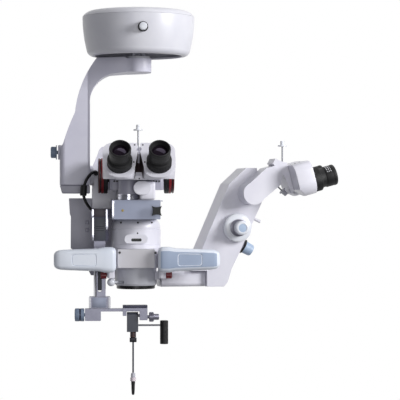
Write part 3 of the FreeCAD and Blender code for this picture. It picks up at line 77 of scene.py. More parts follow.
# A surface with two close tones that drift over it and a fine grain that breaks up the gloss.
# grain and depth are millimetres.
def surface(name, light, dark, rough, metal=0.0, grain=0.6, depth=0.02, coat=0.0):
    patch = 45   # millimetres from one cloud of tone to the next
    material, tree, shader = newMaterial(name)
    place = addNode(tree, "ShaderNodeTexCoord")
    cloud = addNode(tree, "ShaderNodeTexNoise", Scale=1000 / patch, Detail=3.0, Roughness=0.55)
    fine = addNode(tree, "ShaderNodeTexNoise", Scale=1000 / grain, Detail=2.0)
    tone = addNode(tree, "ShaderNodeMix", data_type="RGBA")
    tone.inputs[6].default_value = toLinear(dark)
    tone.inputs[7].default_value = toLinear(light)
    spread = addNode(tree, "ShaderNodeMapRange", From_Min=0.3, From_Max=0.7)
    gloss = addNode(tree, "ShaderNodeMapRange", From_Min=0.3, From_Max=0.7, To_Min=rough - 0.05,
                    To_Max=rough + 0.06)
    bump = addNode(tree, "ShaderNodeBump", Strength=0.5, Distance=depth / 1000)
    link = tree.links.new
    link(place.outputs["Object"], cloud.inputs["Vector"])
    link(place.outputs["Object"], fine.inputs["Vector"])
    link(cloud.outputs["Fac"], spread.inputs["Value"])
    link(spread.outputs["Result"], tone.inputs[0])
    link(tone.outputs[2], shader.inputs["Base Color"])
    link(fine.outputs["Fac"], gloss.inputs["Value"])
    link(gloss.outputs["Result"], shader.inputs["Roughness"])
    link(fine.outputs["Fac"], bump.inputs["Height"])
    link(bump.outputs["Normal"], shader.inputs["Normal"])
    shader.inputs["Metallic"].default_value = metal
    shader.inputs["Coat Weight"].default_value = coat
    shader.inputs["Coat Roughness"].default_value = 0.12
    return material


# Painted metal is satin and a little cloudy, anodised and turned metal has a tighter and duller shine,
# moulded plastic a soft one, and silicone and rubber are matt
look = {
    "whiteEnamel": surface("enamelWhiteSatin", "#e6e5ee", "#dedde8", 0.34, coat=0.15),
    "drumEnamel": surface("enamelDrumSatin", "#e2e2e9", "#dadae3", 0.38, coat=0.1),
    "armEnamel": surface("enamelArmLavender", "#d9d8e6", "#d0cfdf", 0.4),
    "paleEnamel": surface("enamelPaleGrey", "#cdced6", "#c3c4cd", 0.38),
    "greyEnamel": surface("enamelGreySatin", "#aeadbb", "#a3a2b1", 0.38),
    "plateEnamel": surface("enamelFrontPlate", "#cfcdd2", "#c8c6cc", 0.42),
    "silver": surface("aluminiumSatinBlue", "#969bad", "#8b91a4", 0.42, metal=0.5, grain=0.3),
    "brushed": surface("aluminiumSatinPlain", "#8b8b98", "#7c7c8a", 0.36, metal=0.8, grain=0.3),
    "steel": surface("steelGround", "#8f9097", "#7d7e86", 0.3, metal=1.0, grain=0.25),
    "slateMetal": surface("aluminiumAnodisedSlate", "#3f3f52", "#333345", 0.4, metal=0.4, grain=0.3),
    "blackAnodised": surface("aluminiumAnodisedBlack", "#121217", "#0c0c10", 0.32, metal=0.3, grain=0.3),
    "blackPlastic": surface("plasticMouldedBlack", "#121215", "#0b0b0e", 0.5, grain=0.5),
    "rubber": surface("rubberMattBlack", "#0f0f12", "#08080a", 0.6, grain=0.5, depth=0.05),
    "slatePlastic": surface("plasticSlateBlue", "#8795ab", "#76859c", 0.45, grain=0.5),
    "bluePlastic": surface("siliconeGripPaleBlue", "#e9eef8", "#dfe6f3", 0.38, grain=0.8, coat=0.1),
    "knobBlue": surface("plasticKnobPaleBlue", "#b4c6dd", "#a6b9d3", 0.4, grain=0.6),
    "whitePlastic": surface("plasticGlossWhite", "#eceef4", "#e2e5ee", 0.26, coat=0.3),
    "redPlastic": surface("plasticDeepRed", "#8a2028", "#73161d", 0.3, coat=0.2),
    "darkRed": surface("plasticOxbloodRed", "#56151b", "#430f14", 0.32, coat=0.1),
    # darker blue for the right grip's front faces: painted shade
    "gripFrontPaintedShade": surface("siliconeGripBluePaintedShade", "#a9b7cf", "#9dacc6", 0.42, grain=0.8),
    "neckGrey": surface("aluminiumTurnedGrey", "#8d8c99", "#7b7a88", 0.35, metal=0.6, grain=0.3),
    # dark brown for the notch between the head's halves: painted shade
    "notchPaintedShade": surface("rubberBrownPaintedShade", "#3d2c2f", "#2f2123", 0.6, grain=0.5, depth=0.05),
    "polished": surface("aluminiumPolished", "#d4d4de", "#c4c4cf", 0.16, metal=1.0, grain=0.3, depth=0.004),
    "panelSlate": surface("enamelSlateGrey", "#4c4f5a", "#42454f", 0.42, grain=0.5),
    "panelPurple": surface("enamelDarkPlum", "#4a3f49", "#3e343e", 0.42, grain=0.5),
    "bronze": surface("bronzeSpringDark", "#6b4a3c", "#4f352b", 0.34, metal=0.9, grain=0.3),
    "sleeve": surface("acetalSleeveGrey", "#c3c3cd", "#b5b5c0", 0.26, coat=0.2),
    "pinkRing": surface("acetalRingPale", "#eadfe6", "#e0d3dc", 0.28, coat=0.2),
    "windowGlass": surface("acrylicWindowBlack", "#0c0c0f", "#08080a", 0.35, depth=0.004),
    "amber": surface("acrylicIndicatorAmber", "#b8a355", "#a58f45", 0.3, coat=0.3),
    # white of the scale ticks and yoke cheeks, and a painted glint on the rail
    "whiteTickAndGlint": surface("enamelWhiteTickAndGlint", "#e8e8ec", "#dcdce2", 0.4, grain=0.4),
    # black of screws and small parts, and a painted dark reflection on the rail
    "blackScrewAndReflection": surface("steelBlackScrewAndReflection", "#2a2a30", "#1e1e23", 0.35, metal=0.6, grain=0.25),
}
lookOf = {
    "drumEnamel": ["drum_lid", "drum_shell"],
    "whiteEnamel": ["focus_housing", "zoom_body", "lower_body", "binocular_base", "left_ocular",
                    "right_ocular", "assistant_base", "assistant_body", "prism_turret", "assistant_head",
                    "near_ocular", "far_ocular", "zoom_window", "inverter_lever"],
    "armEnamel": ["suspension_arm"],
    "greyEnamel": ["arm_end_cap", "rear_housing", "beam_splitter"],
    "paleEnamel": ["objective_housing", "spindle_carriage"],
    "plateEnamel": ["front_plate"],
    "silver": ["filter_box"],
    "brushed": ["cross_carriage", "lens_rail", "cross_arm", "lens_carriage"],
    "steel": ["mount_plate", "slide_frame"],
    "blackScrewAndReflection": ["body_screws"],
    "panelSlate": ["swing_block"],
    "slateMetal": ["lens_bracket"],
    "blackAnodised": ["objective_ring"],
    "blackPlastic": ["cable_fittings", "star_knob"],
    "whitePlastic": ["ball_lever"],
    "redPlastic": ["left_clamp_knob", "right_clamp_knob"],
}
for name, members in lookOf.items():
    for member in members:
        nodes[member].data.materials.clear()
        nodes[member].data.materials.append(look[name])
print("stage: materials")

# The camera sees white round the object. What shines or is clear mirrors that white only towards the back,
# and a dim bluish grey elsewhere. Soft lamps light the object from the right, the front and above.
world = bpy.data.worlds.new("studio")
bpy.context.scene.world = world
world.use_nodes = True
tree = world.node_tree
background = tree.nodes["Background"]
background.inputs["Color"].default_value = (0.95, 0.96, 1, 1)
background.inputs["Strength"].default_value = 0.17
white = addNode(tree, "ShaderNodeBackground", Color=(1, 1, 1, 1), Strength=1.0)
rays = addNode(tree, "ShaderNodeLightPath")
mirrored = addNode(tree, "ShaderNodeMath", operation="MAXIMUM")
toward = addNode(tree, "ShaderNodeTexCoord")
parts = addNode(tree, "ShaderNodeSeparateXYZ")
behind = addNode(tree, "ShaderNodeMapRange", From_Min=-0.25, From_Max=0.45)
mirroredWhite = addNode(tree, "ShaderNodeMath", operation="MULTIPLY")
either = addNode(tree, "ShaderNodeMath", operation="MAXIMUM")
mix = addNode(tree, "ShaderNodeMixShader")
for start, end in ((rays.outputs["Is Glossy Ray"], mirrored.inputs[0]),
                   (rays.outputs["Is Transmission Ray"], mirrored.inputs[1]),
                   (toward.outputs["Generated"], parts.inputs[0]),
                   (parts.outputs["Y"], behind.inputs["Value"]),
                   (mirrored.outputs[0], mirroredWhite.inputs[0]),
                   (behind.outputs["Result"], mirroredWhite.inputs[1]),
                   (mirroredWhite.outputs[0], either.inputs[0]),
                   (rays.outputs["Is Camera Ray"], either.inputs[1]),
                   (either.outputs[0], mix.inputs[0]),
                   (background.outputs[0], mix.inputs[1]),
                   (white.outputs[0], mix.inputs[2]),
                   (mix.outputs[0], tree.nodes["World Output"].inputs["Surface"])):
    tree.links.new(start, end)


def softbox(name, place, target, size, watts):
    data = bpy.data.lights.new(name, "AREA")
    data.shape = "SQUARE"
    data.size = size
    data.energy = watts
    lamp = bpy.data.objects.new(name, data)
    lamp.location = place
    lamp.rotation_euler = (Vector(target) - Vector(place)).to_track_quat("-Z", "Y").to_euler()
    bpy.context.scene.collection.objects.link(lamp)


middle = (0.05, 0, -0.32)
softbox("keyBox", (1.75, -1.15, 0.3), middle, 0.8, 40)
softbox("fillBox", (0.1, -2.6, -0.25), middle, 1.2, 13)
softbox("topBox", (0.4, -0.2, 1.2), middle, 1.0, 4)
print("stage: lights")


# Modelling tools. Sizes and places are millimetres in the frame of the whole object.
def toMetres(*values):
    return tuple(value / 1000 for value in values)


def facing(direction):
    return Vector(direction).to_track_quat("Z", "Y").to_matrix()


def openMesh():
    bpy.ops.object.mode_set(mode="EDIT")


def closeMesh(piece):
    bpy.ops.mesh.select_all(action="SELECT")
    bpy.ops.mesh.normals_make_consistent(inside=False)
    bpy.ops.object.mode_set(mode="OBJECT")
    return piece


# Selects the faces whose centre, in millimetres, and normal pass the test
def pick(piece, wanted):
    bpy.ops.mesh.select_all(action="DESELECT")
    bpy.ops.object.mode_set(mode="OBJECT")
    for face in piece.data.polygons:
        face.select = wanted(face.center * 1000, face.normal)
    bpy.ops.object.mode_set(mode="EDIT")
    bpy.ops.mesh.select_mode(type="FACE")


def soften(piece, width):
    bevel = piece.modifiers.new("edge", "BEVEL")
    bevel.width = width / 1000
    bevel.segments = 3
    bevel.limit_method = "ANGLE"
    bevel.angle_limit = math.radians(35)
    bpy.context.view_layer.objects.active = piece
    bpy.ops.object.modifier_apply(modifier="edge")
    return piece


# Puts a piece modelled round the origin in its place, and gives it its body and material
def finishPiece(piece, name, body, material, at=(0, 0, 0), turn=None, smooth=35):
    bpy.ops.object.select_all(action="DESELECT")
    piece.select_set(True)
    bpy.context.view_layer.objects.active = piece
    frameTurn = turn.to_4x4() if turn else Matrix.Identity(4)
    piece.matrix_world = Matrix.Translation(toMetres(*at)) @ frameTurn
    bpy.ops.object.transform_apply(location=True, rotation=True, scale=True)
    bpy.ops.object.shade_smooth_by_angle(angle=math.radians(smooth))
    piece.name = name
    piece.data.name = name
    piece.data.materials.clear()
    piece.data.materials.append(material)
    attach(piece, body)
    return piece


# A turned form along Z: a disc extruded and resized from one (radius, height) to the next
def stack(stations, sides):
    bpy.ops.object.select_all(action="DESELECT")
    radius, height = stations[0]
    bpy.ops.mesh.primitive_circle_add(vertices=sides, radius=radius / 1000, fill_type="NGON",
                                      location=(0, 0, height / 1000))
    piece = bpy.context.object
    bpy.ops.object.transform_apply(location=True)
    openMesh()
    bpy.ops.mesh.select_all(action="SELECT")
    for (oldRadius, oldHeight), (radius, height) in zip(stations, stations[1:]):
        bpy.ops.mesh.extrude_region_move(
            TRANSFORM_OT_translate={"value": (0, 0, (height - oldHeight) / 1000)})
        grow = radius / oldRadius
        bpy.ops.transform.resize(value=(grow, grow, 1), center_override=(0, 0, height / 1000))
    return closeMesh(piece)


# Raises the side faces between two heights: of every so many, the first few
def ribs(piece, sides, low, high, inner, out, every=2, first=1):
    openMesh()

    def wanted(centre, normal):
        radius = math.hypot(centre.x, centre.y)
        if not (low < centre.z < high and radius > inner and abs(normal.z) < 0.5):
            return False
        turn = math.atan2(centre.y, centre.x) / (2 * math.pi) * sides
        return int(math.floor(turn + 0.01)) % every < first
    pick(piece, wanted)
    bpy.ops.mesh.extrude_region_shrink_fatten(TRANSFORM_OT_shrink_fatten={"value": out / 1000})
    return closeMesh(piece)


# A box between two corners, with soft edges
def slab(low, high, edge):
    bpy.ops.object.select_all(action="DESELECT")
    centre = [(a + b) / 2000 for a, b in zip(low, high)]
    bpy.ops.mesh.primitive_cube_add(size=1, location=centre)
    piece = bpy.context.object
    piece.scale = [(b - a) / 1000 for a, b in zip(low, high)]
    bpy.ops.object.transform_apply(location=True, rotation=True, scale=True)
    if edge:
        soften(piece, edge)
    return piece


# A finished turned piece: each band of ribs is what ribs() asks for after the sides
def turned(name, outline, body, material, at, way, sides=64, ribbed=()):
    piece = stack(outline, sides)
    for band in ribbed:
        ribs(piece, sides, *band)
    return finishPiece(piece, name, body, look[material], at, facing(way))


def plate(name, low, high, body, material, slot, edge, at=(0, 0, 0), turn=None):
    return finishPiece(slab(low, high, edge), name, body, look[material], at, turn)


def joined(pieces):
    bpy.ops.object.select_all(action="DESELECT")
    for piece in pieces:
        piece.select_set(True)
    bpy.context.view_layer.objects.active = pieces[0]
    if len(pieces) > 1:
        bpy.ops.object.join()
    return bpy.context.object


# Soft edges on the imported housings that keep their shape
softEdge = {
    "suspension_arm": 3.5, "arm_end_cap": 2, "focus_housing": 3, "rear_housing": 2.5, "lower_body": 1.2,
    "front_plate": 0.5, "beam_splitter": 1, "filter_box": 0.8, "binocular_base": 1.2,
    "left_ocular": 3.2, "right_ocular": 3.2, "assistant_base": 1.2, "assistant_body": 3, "prism_turret": 2.4,
    "assistant_head": 1.5, "near_ocular": 3, "far_ocular": 3, "lens_bracket": 0.6, "lens_rail": 0.5,
    "cross_arm": 0.6, "lens_carriage": 0.5, "swing_block": 0.5, "mount_plate": 0.4, "star_knob": 0.8,
    "inverter_lever": 0.6,
}
edgeLimits = {"weld": 0.00002, "flat": 0.5, "corner": 38}   # metres, and degrees between faces
for name, width in softEdge.items():
    part = nodes[name]
    weld = part.modifiers.new("weld", "WELD")
    weld.merge_threshold = edgeLimits["weld"]
    flat = part.modifiers.new("flat", "DECIMATE")
    flat.decimate_type = "DISSOLVE"
    flat.angle_limit = math.radians(edgeLimits["flat"])
    bevel = part.modifiers.new("edge", "BEVEL")
    bevel.width = width / 1000
    bevel.segments = 3
    bevel.limit_method = "ANGLE"
    bevel.angle_limit = math.radians(edgeLimits["corner"])
    bevel.use_clamp_overlap = True
print("stage: soft edges")


# Coated glass: near black, with a violet cast at a slant
glassMaterial, tree, shader = newMaterial("glassCoatedLens")
shader.inputs["Roughness"].default_value = 0.04
shader.inputs["Coat Weight"].default_value = 0.2
shader.inputs["Coat Roughness"].default_value = 0.03
shader.inputs["Specular Tint"].default_value = toLinear("#c9b4e6")
facingGlass = addNode(tree, "ShaderNodeLayerWeight", Blend=0.35)
coatTone = addNode(tree, "ShaderNodeMix", data_type="RGBA")
coatTone.inputs[6].default_value = toLinear("#160d14")
coatTone.inputs[7].default_value = toLinear("#1d1424")
tree.links.new(facingGlass.outputs["Facing"], coatTone.inputs[0])
tree.links.new(coatTone.outputs[2], shader.inputs["Base Color"])
look["coatedGlass"] = glassMaterial

# The two binoculars: how far they lean back, where their hinges are, and how far the eyepieces lie
# to each side of the hinge and below it
axisX = -4.5
halfPupil = 31.75
mainHead = {"lean": 38, "hinge": (axisX, -143.1, -237.1), "eyeDrop": 31.8}
sideHead = {"lean": 15, "hinge": (281.3, -50.3, -261.9), "eyeDrop": 26, "yaw": 10}

headLean = math.radians(mainHead["lean"])
headOut = Vector((0, -math.cos(headLean), math.sin(headLean)))
headUp = Vector((0, math.sin(headLean), math.cos(headLean)))
headHinge = Vector(mainHead["hinge"])
headMid = sideHead["hinge"][1]
assistTurn = Matrix.Rotation(math.radians(sideHead["yaw"]), 3, "Z")
viewLean = math.radians(sideHead["lean"])
viewOut = assistTurn @ Vector((math.cos(viewLean), 0, math.sin(viewLean)))
viewUp = assistTurn @ Vector((-math.sin(viewLean), 0, math.cos(viewLean)))
viewSide = assistTurn @ Vector((0, 1, 0))
rightward, leftward, forward = (1, 0, 0), (-1, 0, 0), (0, -1, 0)
downward, upward = (0, 0, -1), (0, 0, 1)


# A place of the assistant scope's own frame, which is turned about the column
def inAssistant(x, y, z):
    return assistTurn @ Vector((x, y, z)) + Vector((axisX, 0, 0))


# A place of the sloping frame of the main binocular
def onHead(x, y, z):
    return headHinge + Vector((x, 0, 0)) + headUp * y + headOut * z


# A place on the round zoom body, by its angle from the front
def onColumn(angle, radius, height):
    turn = math.radians(angle)
    return (axisX + radius * math.sin(turn), -radius * math.cos(turn), height)


def axes(side, up, out):
    return Matrix((side, up, out)).transposed()


# Eyepieces: ribbed base ring, stepped barrel, eyecup with a rolled lip, and a coated lens
eyepieceSize = {
    "sides": 96, "lensSides": 64,
    "ribs": (1.5, 12, 19.5, 0.35),   # from, to, inner radius, height of a rib
    "outline": [(11.9, -8), (11.9, 0.3), (19.2, 0.31), (20, 1.1), (20, 12.2), (19.2, 13.4),
                (16.6, 14.2), (16.4, 14.8), (16.4, 21.6), (17.1, 22.2), (17.5, 22.8), (17.5, 33.8),
                (17.2, 34.1), (17.2, 34.9), (17.5, 35.2), (17.8, 37.2), (17.7, 39.2), (17.2, 40.4),
                (16.4, 40.9), (15.6, 40.7), (15, 39.8), (14.6, 37.5), (13.4, 34.8), (12.7, 33.6),
                (12.4, 31)],
    "lens": [(12.35, 30), (12.35, 31.8), (10.5, 32.6), (7.5, 33.4), (4, 33.8), (0.6, 33.9)],
}


def eyepiece(name, body, base, turn):
    barrel = stack(eyepieceSize["outline"], eyepieceSize["sides"])
    ribs(barrel, eyepieceSize["sides"], *eyepieceSize["ribs"])
    finishPiece(barrel, name + "Barrel", body, look["rubber"], base, turn)
    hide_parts(name)
    lens = stack(eyepieceSize["lens"], eyepieceSize["lensSides"])
    finishPiece(lens, name + "Lens", body, look["coatedGlass"], base, turn)


for side, name, body in ((-1, "left_eyepiece", "left_eye"), (1, "right_eyepiece", "right_eye")):
    centre = headHinge + Vector((halfPupil * side, 0, 0)) - headUp * mainHead["eyeDrop"]
    eyepiece(name, body, centre, axes(Vector((1, 0, 0)), headUp, headOut))
viewHinge = inAssistant(*sideHead["hinge"])
for side, name, body in ((-1, "near_eyepiece", "near_eye"), (1, "far_eyepiece", "far_eye")):
    centre = viewHinge + viewSide * halfPupil * side - viewUp * sideHead["eyeDrop"]
    eyepiece(name, body, centre, axes(viewSide, viewUp, viewOut))
print("stage: eyepieces")

# Grips: a rounded section extruded along the handle, with a panel line in its flat front.
# A station is (distance along, height, depth).
gripSize = {
    "inner": 35, "middle": -57.8, "level": -419.6,
    "height": 43, "depth": 27, "corner": 9, "cornerSegments": 6,
    "panelFrom": 30, "panelTo": 76, "panelMargin": 2.4, "panelCorner": 5,
    "groove": 0.8, "grooveDepth": 0.9, "grooveRise": 0.7, "grooveReach": 3,
    "flat": -0.98, "facing": -0.93,   # a face belongs to the front when its normal's Y is below these
}
gripStations = [(0, 30, 15), (1.5, 36, 20), (4, 40.5, 24.5), (8, 42.6, 26.8), (19, 42.6, 27),
                (gripSize["panelFrom"], 38, 27), (gripSize["panelTo"], 34.6, 27), (92, 33, 26.6),
                (98, 30, 24), (101.5, 25, 20), (103.1, 19, 15), (103.5, 14, 11)]


def grip(name, side, frontLook):
    bpy.ops.object.select_all(action="DESELECT")
    bpy.ops.mesh.primitive_plane_add(size=1, rotation=(0, math.radians(90), 0))
    piece = bpy.context.object
    piece.scale = (gripSize["height"] / 1000, gripSize["depth"] / 1000, 1)
    bpy.ops.object.transform_apply(location=True, rotation=True, scale=True)
    openMesh()
    bpy.ops.mesh.select_all(action="SELECT")
    bpy.ops.mesh.bevel(offset=gripSize["corner"] / 1000, segments=gripSize["cornerSegments"],
                       affect="VERTICES")
    bpy.ops.mesh.select_all(action="SELECT")
    height, depth = gripStations[0][1:]
    bpy.ops.transform.resize(value=(1, depth / gripSize["depth"], height / gripSize["height"]),
                             center_override=(0, 0, 0))
    for (start, oldHeight, oldDepth), (end, height, depth) in zip(gripStations, gripStations[1:]):
        bpy.ops.mesh.extrude_region_move(
            TRANSFORM_OT_translate={"value": (side * (end - start) / 1000, 0, 0)})
        bpy.ops.transform.resize(value=(1, depth / oldDepth, height / oldHeight), center_override=(0, 0, 0))
    closeMesh(piece)
    openMesh()
    pick(piece, lambda c, n: n.y < gripSize["flat"]
         and gripSize["panelFrom"] < abs(c.x) < gripSize["panelTo"])
    bpy.ops.mesh.inset(thickness=gripSize["panelMargin"] / 1000)
    bpy.ops.mesh.bevel(offset=gripSize["panelCorner"] / 1000, segments=5, affect="VERTICES")
    panelMiddle = (gripSize["panelFrom"] + gripSize["panelTo"]) / 2
    pick(piece, lambda c, n: n.y < gripSize["flat"] and abs(c.z) < gripSize["grooveReach"]
         and abs(abs(c.x) - panelMiddle) < gripSize["grooveReach"])
    bpy.ops.mesh.inset(thickness=gripSize["groove"] / 1000, depth=-gripSize["grooveDepth"] / 1000)
    bpy.ops.mesh.inset(thickness=gripSize["groove"] / 1000, depth=gripSize["grooveRise"] / 1000)
    closeMesh(piece)
    finishPiece(piece, name, "scope", look["bluePlastic"],
                (axisX + side * gripSize["inner"], gripSize["middle"], gripSize["level"]), smooth=40)
    piece.data.materials.append(look[frontLook])
    openMesh()
    pick(piece, lambda c, n: n.y < gripSize["facing"])
    piece.active_material_index = 1
    bpy.ops.object.material_slot_assign()
    bpy.ops.object.mode_set(mode="OBJECT")
    return piece


leftGrip = grip("leftGrip", -1, "bluePlastic")
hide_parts("left_handle")
# The right grip's front faces get a darker blue than the rest of the grips: painted shade
rightGrip = grip("rightGrip", 1, "gripFrontPaintedShade")
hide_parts("right_handle")
print("stage: grips")

# Knobs. Each outline starts inside its bearing and runs outwards, as (radius, height).
drumKnob = {
    "at": (4, -94.6, -34),
    "skirt": [(2.9, -8.8), (2.9, 0.3), (8, 0.32), (8.5, 0.9), (8.3, 7), (7.8, 7.8)],
    "ribs": (1, 6.8, 8, 0.15),
    "cap": [(6.6, 7.2), (6.7, 7.6), (6.6, 13.4), (6.1, 14.5), (5, 15)],
}
skirt = turned("drumKnobSkirt", drumKnob["skirt"], "drum_dial", "blackPlastic",
               drumKnob["at"], forward, 72, [drumKnob["ribs"]])
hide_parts("drum_knob")
turned("drumKnobCap", drumKnob["cap"], "drum_dial", "whitePlastic", drumKnob["at"],
       forward)

tiltSize = {
    "at": (-136.6, 40, -238.3),
    "outline": [(3.15, -9.8), (3.15, 2), (12, 2.01), (12.5, 2.5), (12.5, 3.2), (12.1, 3.6),
                (9.2, 3.61), (9.5, 4.1), (9.5, 11.2), (8.9, 12.2), (7.6, 12.6)],
    "ribs": (4.2, 11, 9, 0.3),
}
tiltKnob = turned("tiltKnob", tiltSize["outline"], "tilt_dial", "slatePlastic",
                  tiltSize["at"], leftward, 60, [tiltSize["ribs"]])
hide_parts("tilt_knob")

# Focus knob of the assistant scope: pale disc, ribbed neck, pale cap with a blue centre
focusKnob = {
    "at": (168.8, -30, -367.2),
    "disc": [(5.95, -9.8), (5.95, 2.5), (21.6, 2.51), (23.6, 3.4), (24.4, 5.2), (24.4, 10.4),
             (23.9, 12.1), (22.4, 13.4), (15.4, 14.4)],
    "ribs": (5.4, 10, 24, 0.12),
    "neck": [(14.6, 14), (14.6, 16.4), (13.2, 16.8), (13.2, 18.6), (14.2, 19), (14.2, 20.6), (13, 21),
             (13, 22.8), (13.6, 23.2), (13.6, 24.8), (12.6, 25.2), (12.2, 29)],
    "cap": [(11.4, 28.4), (11.8, 29), (11.8, 39.4), (11.2, 41.2), (9.6, 42.4), (7.4, 42.6), (7.2, 42.5),
            (7.1, 41.4)],
    "centre": [(6.9, 41.2), (6.9, 41.9), (5.4, 42.1), (1, 42.2)],
}
focusKnobAt = inAssistant(*focusKnob["at"])
focusWay = assistTurn @ Vector(forward)
focusDisc = turned("focusKnobDisc", focusKnob["disc"], "assistant_focus", "whitePlastic",
                   focusKnobAt, focusWay, 96, [focusKnob["ribs"]])
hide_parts("assistant_focus_knob")
turned("focusKnobNeck", focusKnob["neck"], "assistant_focus", "neckGrey",
       focusKnobAt, focusWay, 72)
turned("focusKnobCap", focusKnob["cap"], "assistant_focus", "whitePlastic",
       focusKnobAt, focusWay, 72)
turned("focusKnobCentre", focusKnob["centre"], "assistant_focus", "knobBlue",
       focusKnobAt, focusWay)

# Light knob of the assistant scope: grey collar, black washer, pale blue barrel
lightKnob = {
    "at": (178, -8, -395), "fall": 28,
    "collar": [(3.95, -5.9), (3.95, 5.6), (6.8, 6.4), (7, 6.8), (7, 9.8)],
    "washer": [(12.2, 9.6), (12.6, 9.9), (12.6, 10.8), (12.2, 11.1)],
    "barrel": [(10.1, 11), (10.5, 11.6), (9.7, 24.6), (9.2, 26.4), (7.9, 27.4)],
    "ribs": (12, 24, 9, 0.18),
}
fall = math.radians(lightKnob["fall"])
lightKnobAt = inAssistant(*lightKnob["at"])
lightWay = assistTurn @ Vector((math.cos(fall), 0, -math.sin(fall)))
lightBarrel = turned("lightKnobBarrel", lightKnob["barrel"], "assistant_light", "knobBlue",
                     lightKnobAt, lightWay, 60, [lightKnob["ribs"]])
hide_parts("assistant_light_knob")
turned("lightKnobCollar", lightKnob["collar"], "assistant_light", "neckGrey",
       lightKnobAt, lightWay)
turned("lightKnobWasher", lightKnob["washer"], "assistant_light", "blackPlastic",
       lightKnobAt, lightWay)


# A thin metal stem with a pale flange and cap: the length of the stem, and the radius of the other two
def spreadKnob(name, node, body, at, way, stem, flange, cap, tone):
    metal = turned(name + "Stem", [(1.28, -6), (1.28, stem + 0.5)], body, "steel",
                   at, way, 24)
    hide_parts(node)
    outline = [(flange - 0.5, stem), (flange, stem + 0.4), (flange, stem + 1.7), (flange - 0.6, stem + 2.3),
               (cap + 0.3, stem + 2.9), (cap, stem + 3.3), (cap * 0.94, stem + cap * 2 + 2),
               (cap * 0.8, stem + cap * 2 + 3)]
    turned(name + "Cap", outline, body, tone, at, way, 48)


spreadKnob("spreadKnob", "pd_knob", "spread_dial", (axisX, -108, -251.1), upward,
           stem=45, flange=7.8, cap=3.4, tone="whitePlastic")
spreadKnob("viewSpreadKnob", "assistant_pd_knob", "assistant_spread_dial",
           inAssistant(244.5, headMid, -254), upward, stem=25, flange=7.8, cap=3.4, tone="whitePlastic")

# The rotator knob stands under the barrel, which rises from the turret's pivot
turret = {"pivot": (190, -309), "rise": 42, "along": 42, "half": 18, "knobFall": 48}
rise = math.radians(turret["rise"])
knobFall = math.radians(turret["knobFall"])
rotatorAt = inAssistant(
    turret["pivot"][0] + turret["along"] * math.cos(rise) + turret["half"] * math.sin(rise),
    headMid,
    turret["pivot"][1] + turret["along"] * math.sin(rise) - turret["half"] * math.cos(rise))
rotatorWay = assistTurn @ Vector((math.sin(knobFall), 0, -math.cos(knobFall)))
spreadKnob("rotatorKnob", "rotator_knob", "rotator_dial", rotatorAt, rotatorWay,
           stem=14, flange=6.2, cap=4, tone="sleeve")

# Filter wheels: black drum, two red bands with a black groove between them
wheel = {
    "reach": 48, "depth": -8, "level": -279,
    "drum": [(3.9, -11.8), (3.9, -2), (11, -1.9), (11, 0), (29.2, 0.01), (30, 0.9),
             (30, 6.2), (29, 6.7), (28.5, 7), (28.5, 15.6), (27.6, 16)],
    "band": [(28.4, 6.8), (29.6, 7), (29.7, 7.3), (29.7, 10.7), (29.3, 11)],
    "ribs": (7.4, 10.6, 29, 0.25),
    "rim": [(28.4, 12.8), (29.4, 13), (29.6, 13.4), (29.6, 15), (28.8, 15.8)],
}
for side, name, body in ((-1, "left", "left_wheel"), (1, "right", "right_wheel")):
    wheelAt = (axisX + side * wheel["reach"], wheel["depth"], wheel["level"])
    wheelWay = (side, 0, 0)
    drumPart = turned(name + "WheelDrum", wheel["drum"], body, "blackPlastic",
                      wheelAt, wheelWay, 96)
    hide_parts(name + "_filter_wheel")
    turned(name + "WheelBand", wheel["band"], body, "redPlastic",
           wheelAt, wheelWay, 120, [wheel["ribs"]])
    turned(name + "WheelRim", wheel["rim"], body, "darkRed", wheelAt, wheelWay, 120)
print("stage: knobs")

# Tube, bright ring and block below the binocular head
inverter = {
    "at": (-19, -63.4, 0),
    "tube": [(17.2, -311), (17.2, -287.4)],
    "ring": [(16.6, -319.6), (17.6, -319.2), (17.6, -314.4), (17, -313.8), (17, -313), (17.6, -312.6),
             (17.6, -310.6), (17.2, -310.2)],
    "block": ((-0.8, -88, -319.6), (25, -45.3, -289.4)), "blockEdge": 3.6,
}
tube = turned("inverterTube", inverter["tube"], "scope", "greyEnamel",
              inverter["at"], upward, 72)
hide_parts("inverter")
turned("inverterRing", inverter["ring"], "scope", "polished", inverter["at"], upward, 72)
plate("inverterBlock", *inverter["block"], "scope", "whiteEnamel", "white_paint", inverter["blockEdge"])

# Dark window in the oval plate of the zoom body
plate("zoomGlass", (-13.6, -44, -389.4), (3.6, -42.9, -384.6), "scope", "windowGlass", "black_plastic",
      edge=0.3)


# Small screw heads that stand on a face, each with a socket, joined as one piece
def screwHeads(name, body, places, way, radius, reach):
    heads = []
    for place in places:
        head = stack([(radius, -0.6), (radius, reach * 0.6), (radius * 0.82, reach), (radius * 0.45, reach),
                      (radius * 0.4, reach * 0.35)], 24)
        head.matrix_world = Matrix.Translation(toMetres(*place)) @ facing(way).to_4x4()
        bpy.ops.object.transform_apply(location=True, rotation=True, scale=True)
        heads.append(head)
    return finishPiece(joined(heads), name, body, look["blackScrewAndReflection"])


